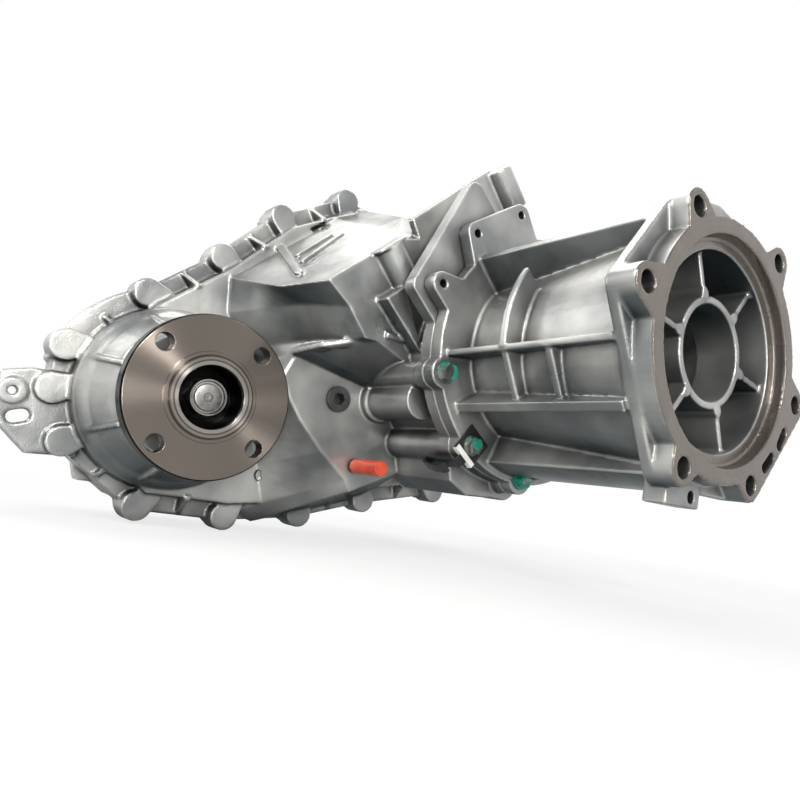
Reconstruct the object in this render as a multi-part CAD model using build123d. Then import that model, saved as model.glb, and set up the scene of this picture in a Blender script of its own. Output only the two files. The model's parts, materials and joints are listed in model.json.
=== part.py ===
from build123d import *
from math import atan2, cos, degrees, hypot, pi, radians, sin, sqrt
import os

# Two-speed chain-drive transfer case, millimetres.
# +X points out of the gearbox face, +Z is up, and the origin is the centre of that face.
# The main axis lies along X. The front output axis lies beside it and lower.

# Shaft layout
chain_pitch = 12.7
sprocket_teeth = 25
chain_links = 66
front_axis_angle = 198.1

# Casting lengths along the main axis
adapter_length = 200.0
front_case_length = 162.0
rear_case_length = 76.0
extension_length = 82.0

# Walls
case_wall = 8.0
overshoot = 1.0
case_flange = 12.0
joint_flange = 13.0
running_gap = 0.3
bearing_fit = 0.03
slide_fit = 0.05

# Gearbox face
pilot_radius = 80.0
pilot_depth = 10.0
face_ring_radius = 92.0
face_thickness = 15.0
gearbox_plate_thickness = 9.0
gearbox_hole_radius = 7.0
gearbox_lug_radius = 12.5
upper_bolt_spacing = 112.0
upper_bolt_height = 83.0
lower_bolt_spacing = 86.0
lower_bolt_height = -86.5
side_bolt_circle = 204.7
side_bolt_angle = 170.5
top_lug_radius = 8.0
top_lug_place = (-7.5, 99.0)

# Adapter barrel
adapter_bore_radius = 71.0
adapter_rear_bore = 52.0
barrel_radius = 100.0
support_ring_radius = 39.9
support_bore_radius = 34.5
support_ring_set_back = 15.4
support_ring_length = 34.0
web_count = 6
web_thickness = 4.5
web_first_angle = -8.0
web_boss_radius = 4.0
bell_rear_radius = 74.0
bell_front_radius = 92.0
shelf_radius = 97.0
shelf_thickness = 8.0
shelf_angle = 214.5
step_rib_radius = 99.0
step_rib_angle = 188.0
step_rib_thickness = 5.0
ledge_radius = 107.0
ledge_angle = 136.5
ledge_thickness = 8.0
bell_rib_angles = (305.0, 333.0, 1.0, 29.0, 57.0, 85.0, 111.0)
bell_rib_thickness = 6.0
keel_first_angle = 247.0
keel_last_angle = 283.0
blade_place = 121.0
blade_thickness = 6.0
blade_first_angle = 149.0
gusset_places = (78.0, 121.0)
gusset_thickness = 6.0
face_slot_places = ((65.5, -67.0), (83.5, -46.5))
face_slot_length = 20.0
face_slot_width = 8.0
drain_lug_left = -42.0
drain_lug_right = -2.0
drain_lug_bottom = -110.0
drain_lug_front = 12.0
drain_lug_depth = 18.0
drain_lug_hole_place = (-12.0, -102.5)

# Adapter joint
joint_bolt_circle = 203.0
joint_bolt_count = 8
joint_bolt_pitch = 37.0
joint_bolt_first_angle = -163.0
joint_lobe_radius = 13.0
pad_radius = 10.0
pad_hole_radius = 3.4
pad_places = ((-112.4, 38.9), (-85.9, 90.8), (-41.2, 124.5))

# Fasteners
bolt_radius = 4.0
bolt_head_across_flats = 12.0
bolt_head_height = 8.0
bolt_washer_radius = 8.5
bolt_washer_height = 1.6
bolt_engagement = 22.0
head_relief = 26.0

# Parting flange of the two case halves
boss_radius = 11.5
boss_root_radius = 8.5
rear_boss_radius = 9.5
boss_root = 12.0
outer_pad_bosses = (5, 6)
ribless_gaps = (4, 5)
parting_round_radius = 90.5
parting_round_start = 92.0
parting_round_end = 172.0
boss_length = 22.0
flange_margin = 4.0
skirt_margin = 11.0
visible_bosses = (
    (-54.0, -140.0), (-119.0, -160.0), (-187.0, -169.0), (-257.0, -168.0), (-317.0, -127.0),
    (-331.0, -90.0), (-329.0, -57.0), (-282.0, -2.0), (-231.0, 46.0), (-187.0, 99.0), (-128.0, 139.0),
)
hidden_bosses = (
    (-50.0, 141.0), (28.0, 141.0), (95.0, 108.0), (133.0, 48.0),
    (137.0, -22.0), (110.0, -86.0), (30.0, -121.0),
)
case_middle = (-110.0, -20.0)

# Front case forms
main_barrel_radius = 97.0
front_wall_place = 290.0
fold_place = 278.0
corner_wall_place = 240.0
ridge_place = 262.0
skirt_place = 335.0
dome_radius = 73.0
dome_wall_place = 343.0
dome_shoulder_place = 322.0
dome_shoulder_radius = 64.5
dome_bulge = 3.0
neck_place = 301.0
neck_radius = 56.0
nose_radius = 50.0
nose_place = 286.0
dome_rib_count = 6
dome_rib_first_angle = 71.3
dome_rib_pitch = 46.7
dome_rib_thickness = 3.6
dome_rib_front_place = 292.0
dome_rib_rear_place = 338.0
skirt_rib_thickness = 3.6
skirt_rib_height = 16.0
barrel_boss_radius = 11.0
barrel_place = 283.0
sump_corners = ((-62, -88), (-54, -112), (-34, -122), (4, -120), (20, -112), (20, -80))
sump_rear_place = 305.0
sump_lobe_place = (8.0, -105.0)
sump_lobe_radius = 16.0
sump_lobe_length = 24.0
dowel_boss_radius = 16.0
dowel_boss_place = (-88.0, -50.0)
ear_thickness = 8.0
ear_rear_place = 352.0
ear_hole_place = (-354.0, -97.0)
ear_hole_radius = 3.0
ear_pad_radius = 9.0
ear_pad_height = 1.5
ear_corners = (
    (-305, -137), (-338, -139.5), (-348, -131), (-358, -122),
    (-366, -104), (-364, -84), (-346, -78), (-300, -78),
)
ear_slot_place = (-347.0, -114.0)
ear_slot_angle = 20.0
ear_slot_length = 15.0
ear_slot_width = 9.0
tower_angle = 135.0
tower_radius = 13.4
tower_length = 44.5
tower_place = (-240.0, -105.0, 38.0)
tower_cap_length = 31.0
tower_cap_width = 25.0
tower_cap_height = 3.0
upper_tower_radius = 13.2
upper_tower_length = 40.0
upper_tower_place = (-240.0, -5.5, 157.5)
web_plate_place = 248.0
web_plate_thickness = 8.0
wall_rib_size = 5.0
facet_origin = (-290.0, -136.7, 96.7)
facet_normal = (0.334, -0.667, 0.667)
facet_bars = (
    ((-61.0, 14.6), (-20.7, 17.5), 4.5),
    ((-67.6, -0.5), (-15.7, 8.1), 4.5),
    ((-55.4, 46.5), (-83.2, -14.7), 7.0),
)
facet_bar_height = 2.2
facet_dimple_place = (-10.1, 45.8)
facet_dimple_radius = 9.0
facet_dimple_depth = 1.5
facet_pit_radius = 2.6
facet_pit_depth = 5.0
corner_web_place = 225.0
corner_web_hole_place = (-100.9, 10.9)
corner_web_hole_radius = 1.6
cam_tower_radius = 24.0

# Rear case and tail housing
extension_flange_radius = 64.0
extension_flange_thickness = 10.0
extension_root_radius = 46.0
extension_rib_length = 30.0
extension_bolt_count = 6
extension_bolt_circle = 114.0
rear_rib_count = 5
rear_rib_first_angle = 150.0
rear_rib_pitch = 24.0
rear_rib_reach = 190.0
rear_rib_thickness = 6.0
rear_rib_height = 6.0
rear_foot_corners = ((-286, -124), (-302, -137), (-296, -155), (-284, -155), (-271, -164), (-258, -152))
rear_foot_thickness = 14.0
motor_radius = 28.0
motor_length = 58.0
motor_foot_radius = 9.0
motor_foot_angle = 131.0
motor_foot_height = 8.0

# Plugs and breather
filler_plug_place = (-129.0, -56.5)
filler_plug_radius = 9.0
filler_plug_socket = 5.5
drain_plug_place = (-222.0, -140.0)
drain_boss_height = 3.0
breather_place = (-102.0, -110.5)
breather_stem_radius = 4.0
breather_stem_length = 20.0
breather_cap_radius = 6.5
breather_cap_length = 44.0
blanking_plug_place = (-164.5, -130.4)
blanking_plug_radius = 4.7
blanking_plug_length = 8.0
blanking_plug_height = 1.0
blanking_plug_slot_width = 1.2
blanking_plug_slot_depth = 1.5

# Harness clip
clip_bolt = 1
clip_plate_size = 25.0
clip_thickness = 1.5
clip_tab_width = 16.0
clip_tab_length = 44.0
clip_tab_reach = 17.0

# Companion flanges
flange_radius = 60.0
flange_thickness = 12.0
flange_hole_radius = 6.5
flange_bolt_circle = 98.7
flange_hole_count = 4
flange_first_angle = 51.0
spigot_radius = 30.0
spigot_height = 2.5
spigot_foot_radius = 33.0
spigot_foot_height = 1.0
flange_edge = 1.2
flange_recess_radius = 23.2
flange_hub_radius = 24.0
flange_hub_length = 60.0
flange_neck_length = 12.0
flange_nut_seat = 24.0
front_flange_place = 257.3
rear_flange_place = 562.0
shaft_spline_radius = 15.0
shaft_thread_radius = 9.75
flange_nut_radius = 15.0
flange_nut_height = 13.0
flange_nut_collar_radius = 14.0
flange_nut_collar_height = 6.0
thread_stick_out = 4.0

# Bearings and seals
input_bearing_bore = 25.0
input_bearing_radius = 45.0
input_bearing_width = 20.0
input_bearing_set_back = 13.0
bearing_wall = 4.0
front_bearing_bore = 20.0
front_bearing_radius = 40.0
front_bearing_width = 18.0
front_tail_bearing_bore = 15.0
front_tail_bearing_radius = 31.0
front_tail_bearing_width = 16.0
main_bearing_bore = 22.5
main_bearing_radius = 42.5
main_bearing_width = 19.0
seal_width = 10.0
seal_radius = 36.0

# Planetary reduction
gear_module = 2.75
sun_teeth = 30
planet_teeth = 10
planet_count = 4
gear_width = 24.0
planet_pin_radius = 6.0
carrier_plate = 6.0
ring_gear_radius = 84.0
planetary_place = 241.0
sun_bore_radius = 28.0
sun_counterbore = 12.0
tooth_reach = 0.8
tooth_depth = 1.15
tooth_tip_share = 0.1
tooth_root_share = 0.29
carrier_post_radius = 5.0
input_front_place = 160.0
input_socket_radius = 17.0
input_socket_depth = 50.0
main_nose_place = 236.0
main_nose_radius = 12.0

# Shift parts
main_shaft_radius = 20.0
range_sleeve_radius = 27.0
mode_hub_radius = 34.0
mode_sleeve_radius = 42.0
collar_height = 8.0
collar_thickness = 3.0
fork_thickness = 7.6
fork_width = 12.0
rail_radius = 8.0
rail_place = (22.5, 70.0)
fork_hub_radius = 13.0
fork_hub_length = 20.0
cam_place = (74.0, 64.0)
cam_radius = 15.0
cam_shaft_radius = 6.0
cam_length = 60.0
mode_hub_length = 20.0
mode_hub_place = 350.0
range_groove_place = 300.0
mode_groove_place = 349.0
range_sleeve_front_place = 254.0
rail_front_place = 280.0
rail_seat_depth = 12.0

# Chain drive
sprocket_width = 26.0
chain_width = 24.0
chain_height = 9.0
chain_clearance = 3.0
chain_link_share = 0.975
chain_plane = 385.0
sprocket_root = 4.5
sprocket_tip = 2.0
sprocket_root_share = 0.3
sprocket_tip_share = 0.14
sprocket_bore_radius = 24.0
front_sprocket_seat_radius = 22.0
oil_pump_width = 8.0
oil_pump_radius = 40.0

# Stations worked out from the lengths
joint_x = -adapter_length
parting_x = joint_x - front_case_length
rear_wall_x = parting_x - rear_case_length
extension_x = rear_wall_x - extension_length
front_flange_x = -front_flange_place
rear_flange_x = -rear_flange_place
front_wall_x = -front_wall_place
ridge_x = -ridge_place
nose_x = -nose_place
chain_x = -chain_plane
boss_front_x = parting_x + boss_length
skirt_x = -skirt_place
fold_x = -fold_place
corner_wall_x = -corner_wall_place
barrel_x = -barrel_place
ear_rear_x = -ear_rear_place
input_bearing_rear_x = -planetary_place + input_bearing_set_back
input_front_x = -input_front_place
main_nose_x = -main_nose_place
front_bearing_rear_x = front_flange_x - flange_thickness - flange_hub_length - front_bearing_width
tail_bearing_front_x = chain_x - sprocket_width / 2 - bearing_wall
main_bearing_front_x = chain_x - sprocket_width / 2 - oil_pump_width - bearing_wall
mode_hub_x = -mode_hub_place
range_groove_x = -range_groove_place
mode_groove_x = -mode_groove_place
range_sleeve_front_x = -range_sleeve_front_place
rail_front_x = -rail_front_place
rail_rear_x = rear_wall_x + rail_seat_depth
cam_front_x = front_wall_x - case_wall
cam_rear_x = cam_front_x - cam_length

# Front output axis from the chain
chain_drop = chain_pitch * (chain_links - sprocket_teeth) / 2
front_axis = (
    chain_drop * cos(radians(front_axis_angle)),
    chain_drop * sin(radians(front_axis_angle)),
)
main_axis = (0.0, 0.0)


# Building helpers
def across(x):
    """A drawing plane square to the shafts: its own X is +Y and its own Y is +Z."""
    return Plane(origin=(x, 0, 0), x_dir=(0, 1, 0), z_dir=(1, 0, 0))


def polar(radius, angle, centre=main_axis):
    return (centre[0] + radius * cos(radians(angle)), centre[1] + radius * sin(radians(angle)))


def slab(sketch, x_rear, x_front):
    """A drawing in the YZ plane pushed from x_rear forward to x_front."""
    return extrude(across(x_rear) * sketch, x_front - x_rear)


def disc(radius, centre=main_axis):
    return Pos(centre[0], centre[1]) * Circle(radius)


def rod(x_rear, x_front, radius, centre=main_axis):
    return slab(disc(radius, centre), x_rear, x_front)


def ring(x_rear, x_front, outer, inner, centre=main_axis):
    return slab(disc(outer, centre) - disc(inner, centre), x_rear, x_front)


def cone(x_rear, rear_radius, x_front, front_radius, centre=main_axis):
    rear = across(x_rear) * disc(rear_radius, centre)
    front = across(x_front) * disc(front_radius, centre)
    return loft([rear.face(), front.face()], ruled=True)


def outline(points):
    return make_face(Polyline(*points, close=True))


def lobes(points, radius):
    return [disc(radius, point) for point in points]


def wedge(first_angle, last_angle, reach):
    """A sector of the cross-section, for cutting pockets between ribs."""
    middle = (first_angle + last_angle) / 2
    corners = [main_axis, polar(reach, first_angle), polar(reach * 1.2, middle), polar(reach, last_angle)]
    return outline(corners)


def radial_plate(first_radius, last_radius, angle, thickness, centre=main_axis):
    """The cross-section of a rib standing on a round wall."""
    length = last_radius - first_radius
    place = polar((first_radius + last_radius) / 2, angle, centre)
    return Pos(*place) * Rot(0, 0, angle) * Rectangle(length, thickness)


def fuse(first, others):
    body = first
    for other in others:
        body = body + other
    return body


# Gearbox flange and adapter
def gearbox_bolts():
    half_upper = upper_bolt_spacing / 2
    half_lower = lower_bolt_spacing / 2
    side = side_bolt_circle / 2
    return [
        (-half_upper, upper_bolt_height),
        (half_upper, upper_bolt_height),
        (-half_lower, lower_bolt_height),
        (half_lower, lower_bolt_height),
        polar(side, side_bolt_angle),
        polar(side, side_bolt_angle + 180),
    ]


def joint_bolts():
    radius = joint_bolt_circle / 2
    angles = [joint_bolt_first_angle + step * joint_bolt_pitch for step in range(joint_bolt_count)]
    return [polar(radius, angle) for angle in angles]


def lug(centre, radius, root_radius):
    """A bolt lug that widens towards the middle of the flange."""
    return make_hull((disc(radius, centre) + disc(root_radius)).edges())


def gearbox_face_sketch():
    root_radius = face_ring_radius * 0.55
    sketch = disc(face_ring_radius)
    for bolt in gearbox_bolts():
        sketch += lug(bolt, gearbox_lug_radius, root_radius)
    corner = disc(gearbox_lug_radius, gearbox_bolts()[3])
    corner += disc(gearbox_lug_radius, gearbox_bolts()[5])
    return sketch + make_hull(corner.edges())


def gearbox_plate_sketch():
    rim = fuse(disc(gearbox_lug_radius, gearbox_bolts()[0]), lobes(gearbox_bolts()[1:], gearbox_lug_radius))
    rim += disc(top_lug_radius, top_lug_place)
    return make_hull(rim.edges())


def lengthwise_rib(angle, reach, thickness):
    return radial_plate(bell_rear_radius - case_wall, reach, angle, thickness)


def adapter_ribs():
    """The cross-section of the ribs that run along the bell between its two flanges."""
    sketch = lengthwise_rib(shelf_angle, shelf_radius, shelf_thickness)
    sketch += lengthwise_rib(step_rib_angle, step_rib_radius, step_rib_thickness)
    sketch += lengthwise_rib(ledge_angle, ledge_radius, ledge_thickness)
    for angle in bell_rib_angles:
        sketch += lengthwise_rib(angle, barrel_radius, bell_rib_thickness)
    keel = wedge(keel_first_angle, keel_last_angle, barrel_radius * 1.1)
    return sketch + (keel & disc(barrel_radius))


def adapter_blade():
    """The cross rib on the bell, round at its edge, from the ledge side down to the step rib."""
    middle_angle = (blade_first_angle + step_rib_angle) / 2
    edge = ThreePointArc(
        polar(barrel_radius, blade_first_angle),
        polar(barrel_radius, middle_angle),
        polar(barrel_radius, step_rib_angle),
    )
    root = Polyline(
        polar(barrel_radius, step_rib_angle),
        polar(bell_rear_radius, step_rib_angle),
        polar(bell_rear_radius, blade_first_angle + 4),
        polar(barrel_radius, blade_first_angle),
    )
    return slab(make_face(edge + root), -blade_place - blade_thickness, -blade_place)


def shelf_gusset(place):
    """A web between the step rib and the shelf."""
    web = outline([
        polar(bell_rear_radius, step_rib_angle),
        polar(step_rib_radius - 1, step_rib_angle + 1),
        polar(bell_front_radius, shelf_angle - 1),
        polar(bell_rear_radius, shelf_angle),
    ])
    return slab(web, -place - gusset_thickness, -place)


def drain_lug():
    """The square lug under the gearbox flange, with its hole along the shafts."""
    outer = outline([
        (drain_lug_left, -barrel_radius + 12),
        (drain_lug_left, drain_lug_bottom),
        (drain_lug_right, drain_lug_bottom),
        (drain_lug_right, -barrel_radius + 12),
    ])
    return slab(outer, -drain_lug_front - drain_lug_depth, -drain_lug_front)


def face_slots():
    """The two cast windows in the lower right edge of the gearbox flange."""
    sketch = []
    for place in face_slot_places:
        turn = degrees(atan2(place[1], place[0])) + 90
        sketch.append(Pos(*place) * Rot(0, 0, turn) * SlotOverall(face_slot_length, face_slot_width))
    return sketch


def adapter_rear_sketch():
    root_radius = barrel_radius * 0.5
    sketch = disc(barrel_radius + 6)
    for bolt in joint_bolts():
        sketch += lug(bolt, joint_lobe_radius, barrel_radius * 0.6)
    sketch += lug(pad_places[0], pad_radius, root_radius)
    top = disc(pad_radius, pad_places[1]) + disc(pad_radius, pad_places[2]) + disc(root_radius)
    return sketch + make_hull(top.edges())


def support_ring():
    """The ring inside the gearbox face with its webs and their round feet."""
    ring_front = -support_ring_set_back
    ring_rear = ring_front - support_ring_length
    body = ring(ring_rear, ring_front, support_ring_radius, support_bore_radius)
    for step in range(web_count):
        angle = web_first_angle + step * 360 / web_count
        web = radial_plate(support_bore_radius + 2, adapter_bore_radius + 3, angle, web_thickness)
        body += slab(web, ring_rear, ring_front)
        foot = polar(support_ring_radius + 2, angle)
        body += rod(ring_rear, ring_front + 1, web_boss_radius, foot)
    return body


def adapter_housing():
    plate_rear = -face_thickness - gearbox_plate_thickness
    flange_front = joint_x + joint_flange
    bell_turn_x = -support_ring_set_back - support_ring_length
    body = slab(gearbox_face_sketch(), -face_thickness, 0)
    body += slab(gearbox_plate_sketch(), plate_rear, -face_thickness)
    body += cone(flange_front, bell_rear_radius, plate_rear, bell_front_radius)
    body += slab(adapter_ribs(), flange_front, plate_rear)
    body += adapter_blade()
    for place in gusset_places:
        body += shelf_gusset(place)
    body += drain_lug()
    body += slab(adapter_rear_sketch(), joint_x, flange_front)
    body -= rod(-pilot_depth, 1, pilot_radius)
    body -= rod(bell_turn_x, 0, adapter_bore_radius)
    body -= cone(flange_front, adapter_rear_bore, bell_turn_x, adapter_bore_radius)
    body -= rod(joint_x - overshoot, flange_front, adapter_rear_bore)
    body += support_ring()
    for bolt in gearbox_bolts():
        body -= rod(plate_rear - overshoot, 1, gearbox_hole_radius, bolt)
    for slot in face_slots():
        body -= slab(slot, plate_rear - overshoot, 1)
    lug_rear = -drain_lug_front - drain_lug_depth
    body -= rod(lug_rear - overshoot, -drain_lug_front + overshoot, bolt_radius, drain_lug_hole_place)
    for bolt in joint_bolts():
        body -= rod(flange_front, flange_front + head_relief, bolt_washer_radius + 1.5, bolt)
        body -= rod(joint_x - overshoot, flange_front + overshoot, bolt_radius + 0.5, bolt)
    for pad in pad_places:
        body -= rod(joint_x - overshoot, flange_front + overshoot, pad_hole_radius, pad)
    return body


# Case halves
def parting_points():
    return list(visible_bosses) + list(hidden_bosses)


def parting_sketch(margin):
    return offset(outline(parting_points()), margin)


def parting_flange_sketch():
    """The flange between the case halves, rounded about the front output."""
    reach = 1.5 * parting_round_radius
    sector = outline([
        front_axis,
        polar(reach, parting_round_start, front_axis),
        polar(reach, (parting_round_start + parting_round_end) / 2, front_axis),
        polar(reach, parting_round_end, front_axis),
    ])
    return parting_sketch(flange_margin) + (disc(parting_round_radius, front_axis) & sector)


def chain_room():
    """The clear radius that the running chain needs round each sprocket."""
    return sprocket_radius() + sprocket_tip + chain_height + chain_clearance


def skirt_sketch():
    return parting_sketch(-skirt_margin) + disc(chain_room() + case_wall, front_axis)


def case_cavity_sketch():
    return parting_sketch(-skirt_margin - case_wall) + disc(chain_room(), front_axis)


def joint_sketch():
    """The joint face that the adapter bolts on to, with its tall corner."""
    sketch = disc(barrel_radius + 6)
    for bolt in joint_bolts():
        sketch += lug(bolt, joint_lobe_radius, barrel_radius * 0.6)
    corner = disc(pad_radius - 2, (-124, 36)) + disc(pad_radius - 2, (-84, 132)) + disc(barrel_radius * 0.6)
    return sketch + make_hull(corner.edges())


def turned(profile, centre):
    """A profile of place and radius, turned about an axis along the shafts."""
    plane = Plane(origin=(0, centre[0], centre[1]), x_dir=(1, 0, 0), z_dir=(0, -1, 0))
    return revolve(plane * profile, Axis((0, centre[0], centre[1]), (1, 0, 0)), 360)


def dome_rib(angle):
    """A thin gusset that slopes from the seal nose down to the foot of the dome."""
    profile = outline([
        (-dome_rib_front_place, nose_radius - 8),
        (-dome_rib_front_place, nose_radius + 6),
        (-dome_rib_rear_place, dome_radius),
        (-dome_rib_rear_place - 10, dome_radius),
        (-dome_rib_rear_place - 10, nose_radius - 8),
    ])
    square = (0, -sin(radians(angle)), cos(radians(angle)))
    plane = Plane(origin=(0, front_axis[0], front_axis[1]), x_dir=(1, 0, 0), z_dir=square)
    return extrude(plane * profile, dome_rib_thickness / 2, both=True)


def dome():
    """The bulge over the front output shaft, ending in the seal nose, with its radial ribs."""
    wall_end = (-dome_wall_place, dome_radius)
    shoulder_end = (-dome_shoulder_place, dome_shoulder_radius)
    bulge_top = (
        (wall_end[0] + shoulder_end[0] + dome_bulge) / 2,
        (wall_end[1] + shoulder_end[1] + dome_bulge) / 2,
    )
    wall = Polyline((parting_x, 0), (parting_x, dome_radius), wall_end)
    bulge = ThreePointArc(wall_end, bulge_top, shoulder_end)
    nose = Polyline(
        shoulder_end,
        (-neck_place, neck_radius),
        (nose_x - case_wall, nose_radius),
        (nose_x, nose_radius),
        (nose_x, 0),
        (parting_x, 0),
    )
    body = turned(make_face(wall + bulge + nose), front_axis)
    for step in range(dome_rib_count):
        body += dome_rib(dome_rib_first_angle + step * dome_rib_pitch)
    return body


def shoulder():
    """The sloping shoulder from the chain side up to the gearbox side, as flat cast facets."""
    base = (
        (-196, -46), (-214, -30), (-230, -4), (-229, 32), (-167.4, 93.3),
        (-143.4, 119.6), (-108.3, 140), (-29.6, 134), (40, 60), (20, -60),
    )
    fold = (
        (-172, -26), (-162.6, -14.5), (-183.5, 11), (-205.6, 19.2), (-150, 77),
        (-128, 99), (-104, 118), (-24, 124), (40, 60), (20, -60),
    )
    wall = (
        (-130, -9), (-141.7, -9.4), (-161.1, 11.6), (-183, 26.5), (-155, 53.5),
        (-140, 68.5), (-128.1, 80.9), (-24, 116), (40, 60), (20, -60),
    )
    places = (parting_x + case_flange, fold_x, corner_wall_x)
    faces = [(across(x) * outline(points)).face() for x, points in zip(places, (base, fold, wall))]
    return loft(faces, ruled=True)


def facet_bar(start, end, width):
    """A low rounded rib on the large facet of the shoulder."""
    length = hypot(end[0] - start[0], end[1] - start[1])
    turn = degrees(atan2(end[1] - start[1], end[0] - start[0]))
    middle = ((start[0] + end[0]) / 2, (start[1] + end[1]) / 2)
    bar = Pos(*middle) * Rot(0, 0, turn) * SlotOverall(length + width, width)
    return extrude(facet_plane() * bar, facet_bar_height, both=True)


def facet_plane():
    return Plane(origin=facet_origin, x_dir=(0, 1, 1), z_dir=facet_normal)


def facet_dimple():
    """The shallow round sink on the large facet, with a small pit in it."""
    sink = disc(facet_dimple_radius, facet_dimple_place)
    pit = disc(facet_pit_radius, facet_dimple_place)
    body = extrude(facet_plane() * sink, facet_dimple_depth, both=True)
    return body + extrude(facet_plane() * pit, facet_pit_depth, both=True)


def wall_rib():
    """The thin rib that edges the shoulder above the filler face."""
    half = wall_rib_size / 2
    places = ((front_wall_x, (-175, -27)), (ridge_x, (-162.3, -19.1)), (corner_wall_x, (-118.2, -2)))
    faces = []
    for x, centre in places:
        section = Pos(*centre) * Rectangle(2 * wall_rib_size, wall_rib_size)
        faces.append((across(x) * section).face())
    body = loft(faces, ruled=True)
    end = outline([(-124, -2 - half), (-124, -2 + half), (-104, -1 + half), (-104, -1 - half)])
    return body + slab(end, corner_wall_x - half, corner_wall_x + half)


def filler_face():
    """The flat machined wall beside the front output that carries the filler plug."""
    base = (
        (-192, -18), (-202, -48), (-194, -74), (-184, -98), (-180, -130),
        (-176, -164), (-160, -172), (-60, -140), (-18, -112), (-20, -20),
    )
    wall = (
        (-174.2, -26.2), (-182.5, -47.7), (-172.4, -66.4), (-160.3, -80.8), (-137.1, -102.2),
        (-108.1, -123.8), (-101.1, -133.4), (-52.1, -108.8), (-20.3, -90.8), (-30, -20),
    )
    faces = [
        (across(parting_x + case_flange) * outline(base)).face(),
        (across(front_wall_x) * outline(wall)).face(),
    ]
    return loft(faces, ruled=True)


def bolt_barrels():
    """Round bosses behind the joint bolts that lie against the filler face."""
    bolts = joint_bolts()
    joint_rear = joint_x - joint_flange
    body = rod(front_wall_x, joint_rear, barrel_boss_radius, bolts[0])
    body += rod(front_wall_x, barrel_x, barrel_boss_radius + 3, bolts[0])
    body += rod(front_wall_x, joint_rear - 10, dowel_boss_radius, dowel_boss_place)
    body += rod(front_wall_x, barrel_x, dowel_boss_radius + 3, dowel_boss_place)
    body += rod(front_wall_x, joint_rear, joint_lobe_radius, bolts[1])
    return body


def skirt_ribs():
    """Small gussets between the case bolts, from the wall down to the edge of the parting flange."""
    flange_front = parting_x + case_flange
    profile = outline([
        (-skirt_margin - 2, 0),
        (flange_margin - 1, 0),
        (-skirt_margin + 1, skirt_rib_height),
        (-skirt_margin - 2, skirt_rib_height),
    ])
    points = parting_points()
    ribs = []
    for gap, (first, second) in enumerate(zip(points, points[1:] + points[:1])):
        if gap in ribless_gaps:
            continue
        length = hypot(second[0] - first[0], second[1] - first[1])
        along = ((second[0] - first[0]) / length, (second[1] - first[1]) / length)
        middle = (flange_front, (first[0] + second[0]) / 2, (first[1] + second[1]) / 2)
        plane = Plane(origin=middle, x_dir=(0, -along[1], along[0]), z_dir=(0, along[0], along[1]))
        ribs.append(extrude(plane * profile, skirt_rib_thickness / 2, both=True))
    return ribs


def boss_root_place(centre):
    """The point where a case boss runs out in the wall, on the way to the middle of the case."""
    share = boss_root / hypot(centre[0] - case_middle[0], centre[1] - case_middle[1])
    return (
        centre[0] + (case_middle[0] - centre[0]) * share,
        centre[1] + (case_middle[1] - centre[1]) * share,
    )


def boss_sketch(centres, radius):
    """Bolt bosses whose sides run straight into the wall behind them, joined in one pad."""
    rounds = disc(radius, centres[0])
    for centre in centres[1:]:
        rounds += disc(radius, centre)
    for centre in centres:
        rounds += disc(boss_root_radius, boss_root_place(centre))
    return make_hull(rounds.edges())


def sump():
    """The thick ledge under the barrel, from the filler face forward to the lowest joint bolt."""
    body = slab(outline(sump_corners), -sump_rear_place, joint_x - joint_flange)
    lobe_front = joint_x - joint_flange
    return body + rod(lobe_front - sump_lobe_length, lobe_front, sump_lobe_radius, sump_lobe_place)


def bracket_ear():
    """The thin ear at the outer end, with a small hole and a slot for a bracket."""
    ear_front_x = ear_rear_x + ear_thickness
    pad_front_x = ear_front_x + ear_pad_height
    body = slab(outline(ear_corners), ear_rear_x, ear_front_x)
    body += rod(ear_rear_x, pad_front_x, ear_pad_radius, ear_hole_place)
    body -= rod(ear_rear_x - overshoot, pad_front_x + overshoot, ear_hole_radius, ear_hole_place)
    slot = Pos(*ear_slot_place) * Rot(0, 0, ear_slot_angle) * SlotOverall(ear_slot_length, ear_slot_width)
    return body - slab(slot, ear_rear_x - overshoot, pad_front_x + overshoot)


def inclined(place, angle):
    """A drawing plane square to an axis that leans in the cross-section."""
    lean = radians(angle)
    return Plane(origin=place, x_dir=(1, 0, 0), z_dir=(0, cos(lean), sin(lean)))


def top_tower():
    """The inclined cylindrical boss on the corner wall, with its flat cap."""
    axis = inclined(tower_place, tower_angle)
    body = extrude(axis * Circle(tower_radius), tower_length)
    cap = axis.offset(tower_length) * RectangleRounded(tower_cap_width, tower_cap_length, 4)
    return body + extrude(cap, tower_cap_height)


def upper_tower():
    """The second inclined boss, at the top end of the web plate."""
    axis = inclined(upper_tower_place, tower_angle)
    return extrude(axis * Circle(upper_tower_radius), upper_tower_length)


def web_plate():
    """The flat web that joins the two inclined bosses."""
    corners = ((-116.8, 102.9), (-43.1, 181.2), (-36, 186), (-14, 158), (-26, 108), (-100.6, 80))
    rear = -web_plate_place
    return slab(outline(corners), rear, rear + web_plate_thickness)


def corner_web():
    """The wedge and the plate with a pin hole between the corner wall and the joint flange."""
    wedge_corners = ((-138.1, 24), (-123.1, 38.6), (-92.6, -14.5))
    plate_corners = ((-123.1, 38.6), (-104, 40), (-76, -4), (-92.6, -14.5))
    front = -corner_web_place
    body = slab(outline(wedge_corners), corner_wall_x - 2, front)
    body += slab(outline(plate_corners), corner_wall_x - 2, front - 5)
    return body - rod(front - 12, front + overshoot, corner_web_hole_radius, corner_web_hole_place)


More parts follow.
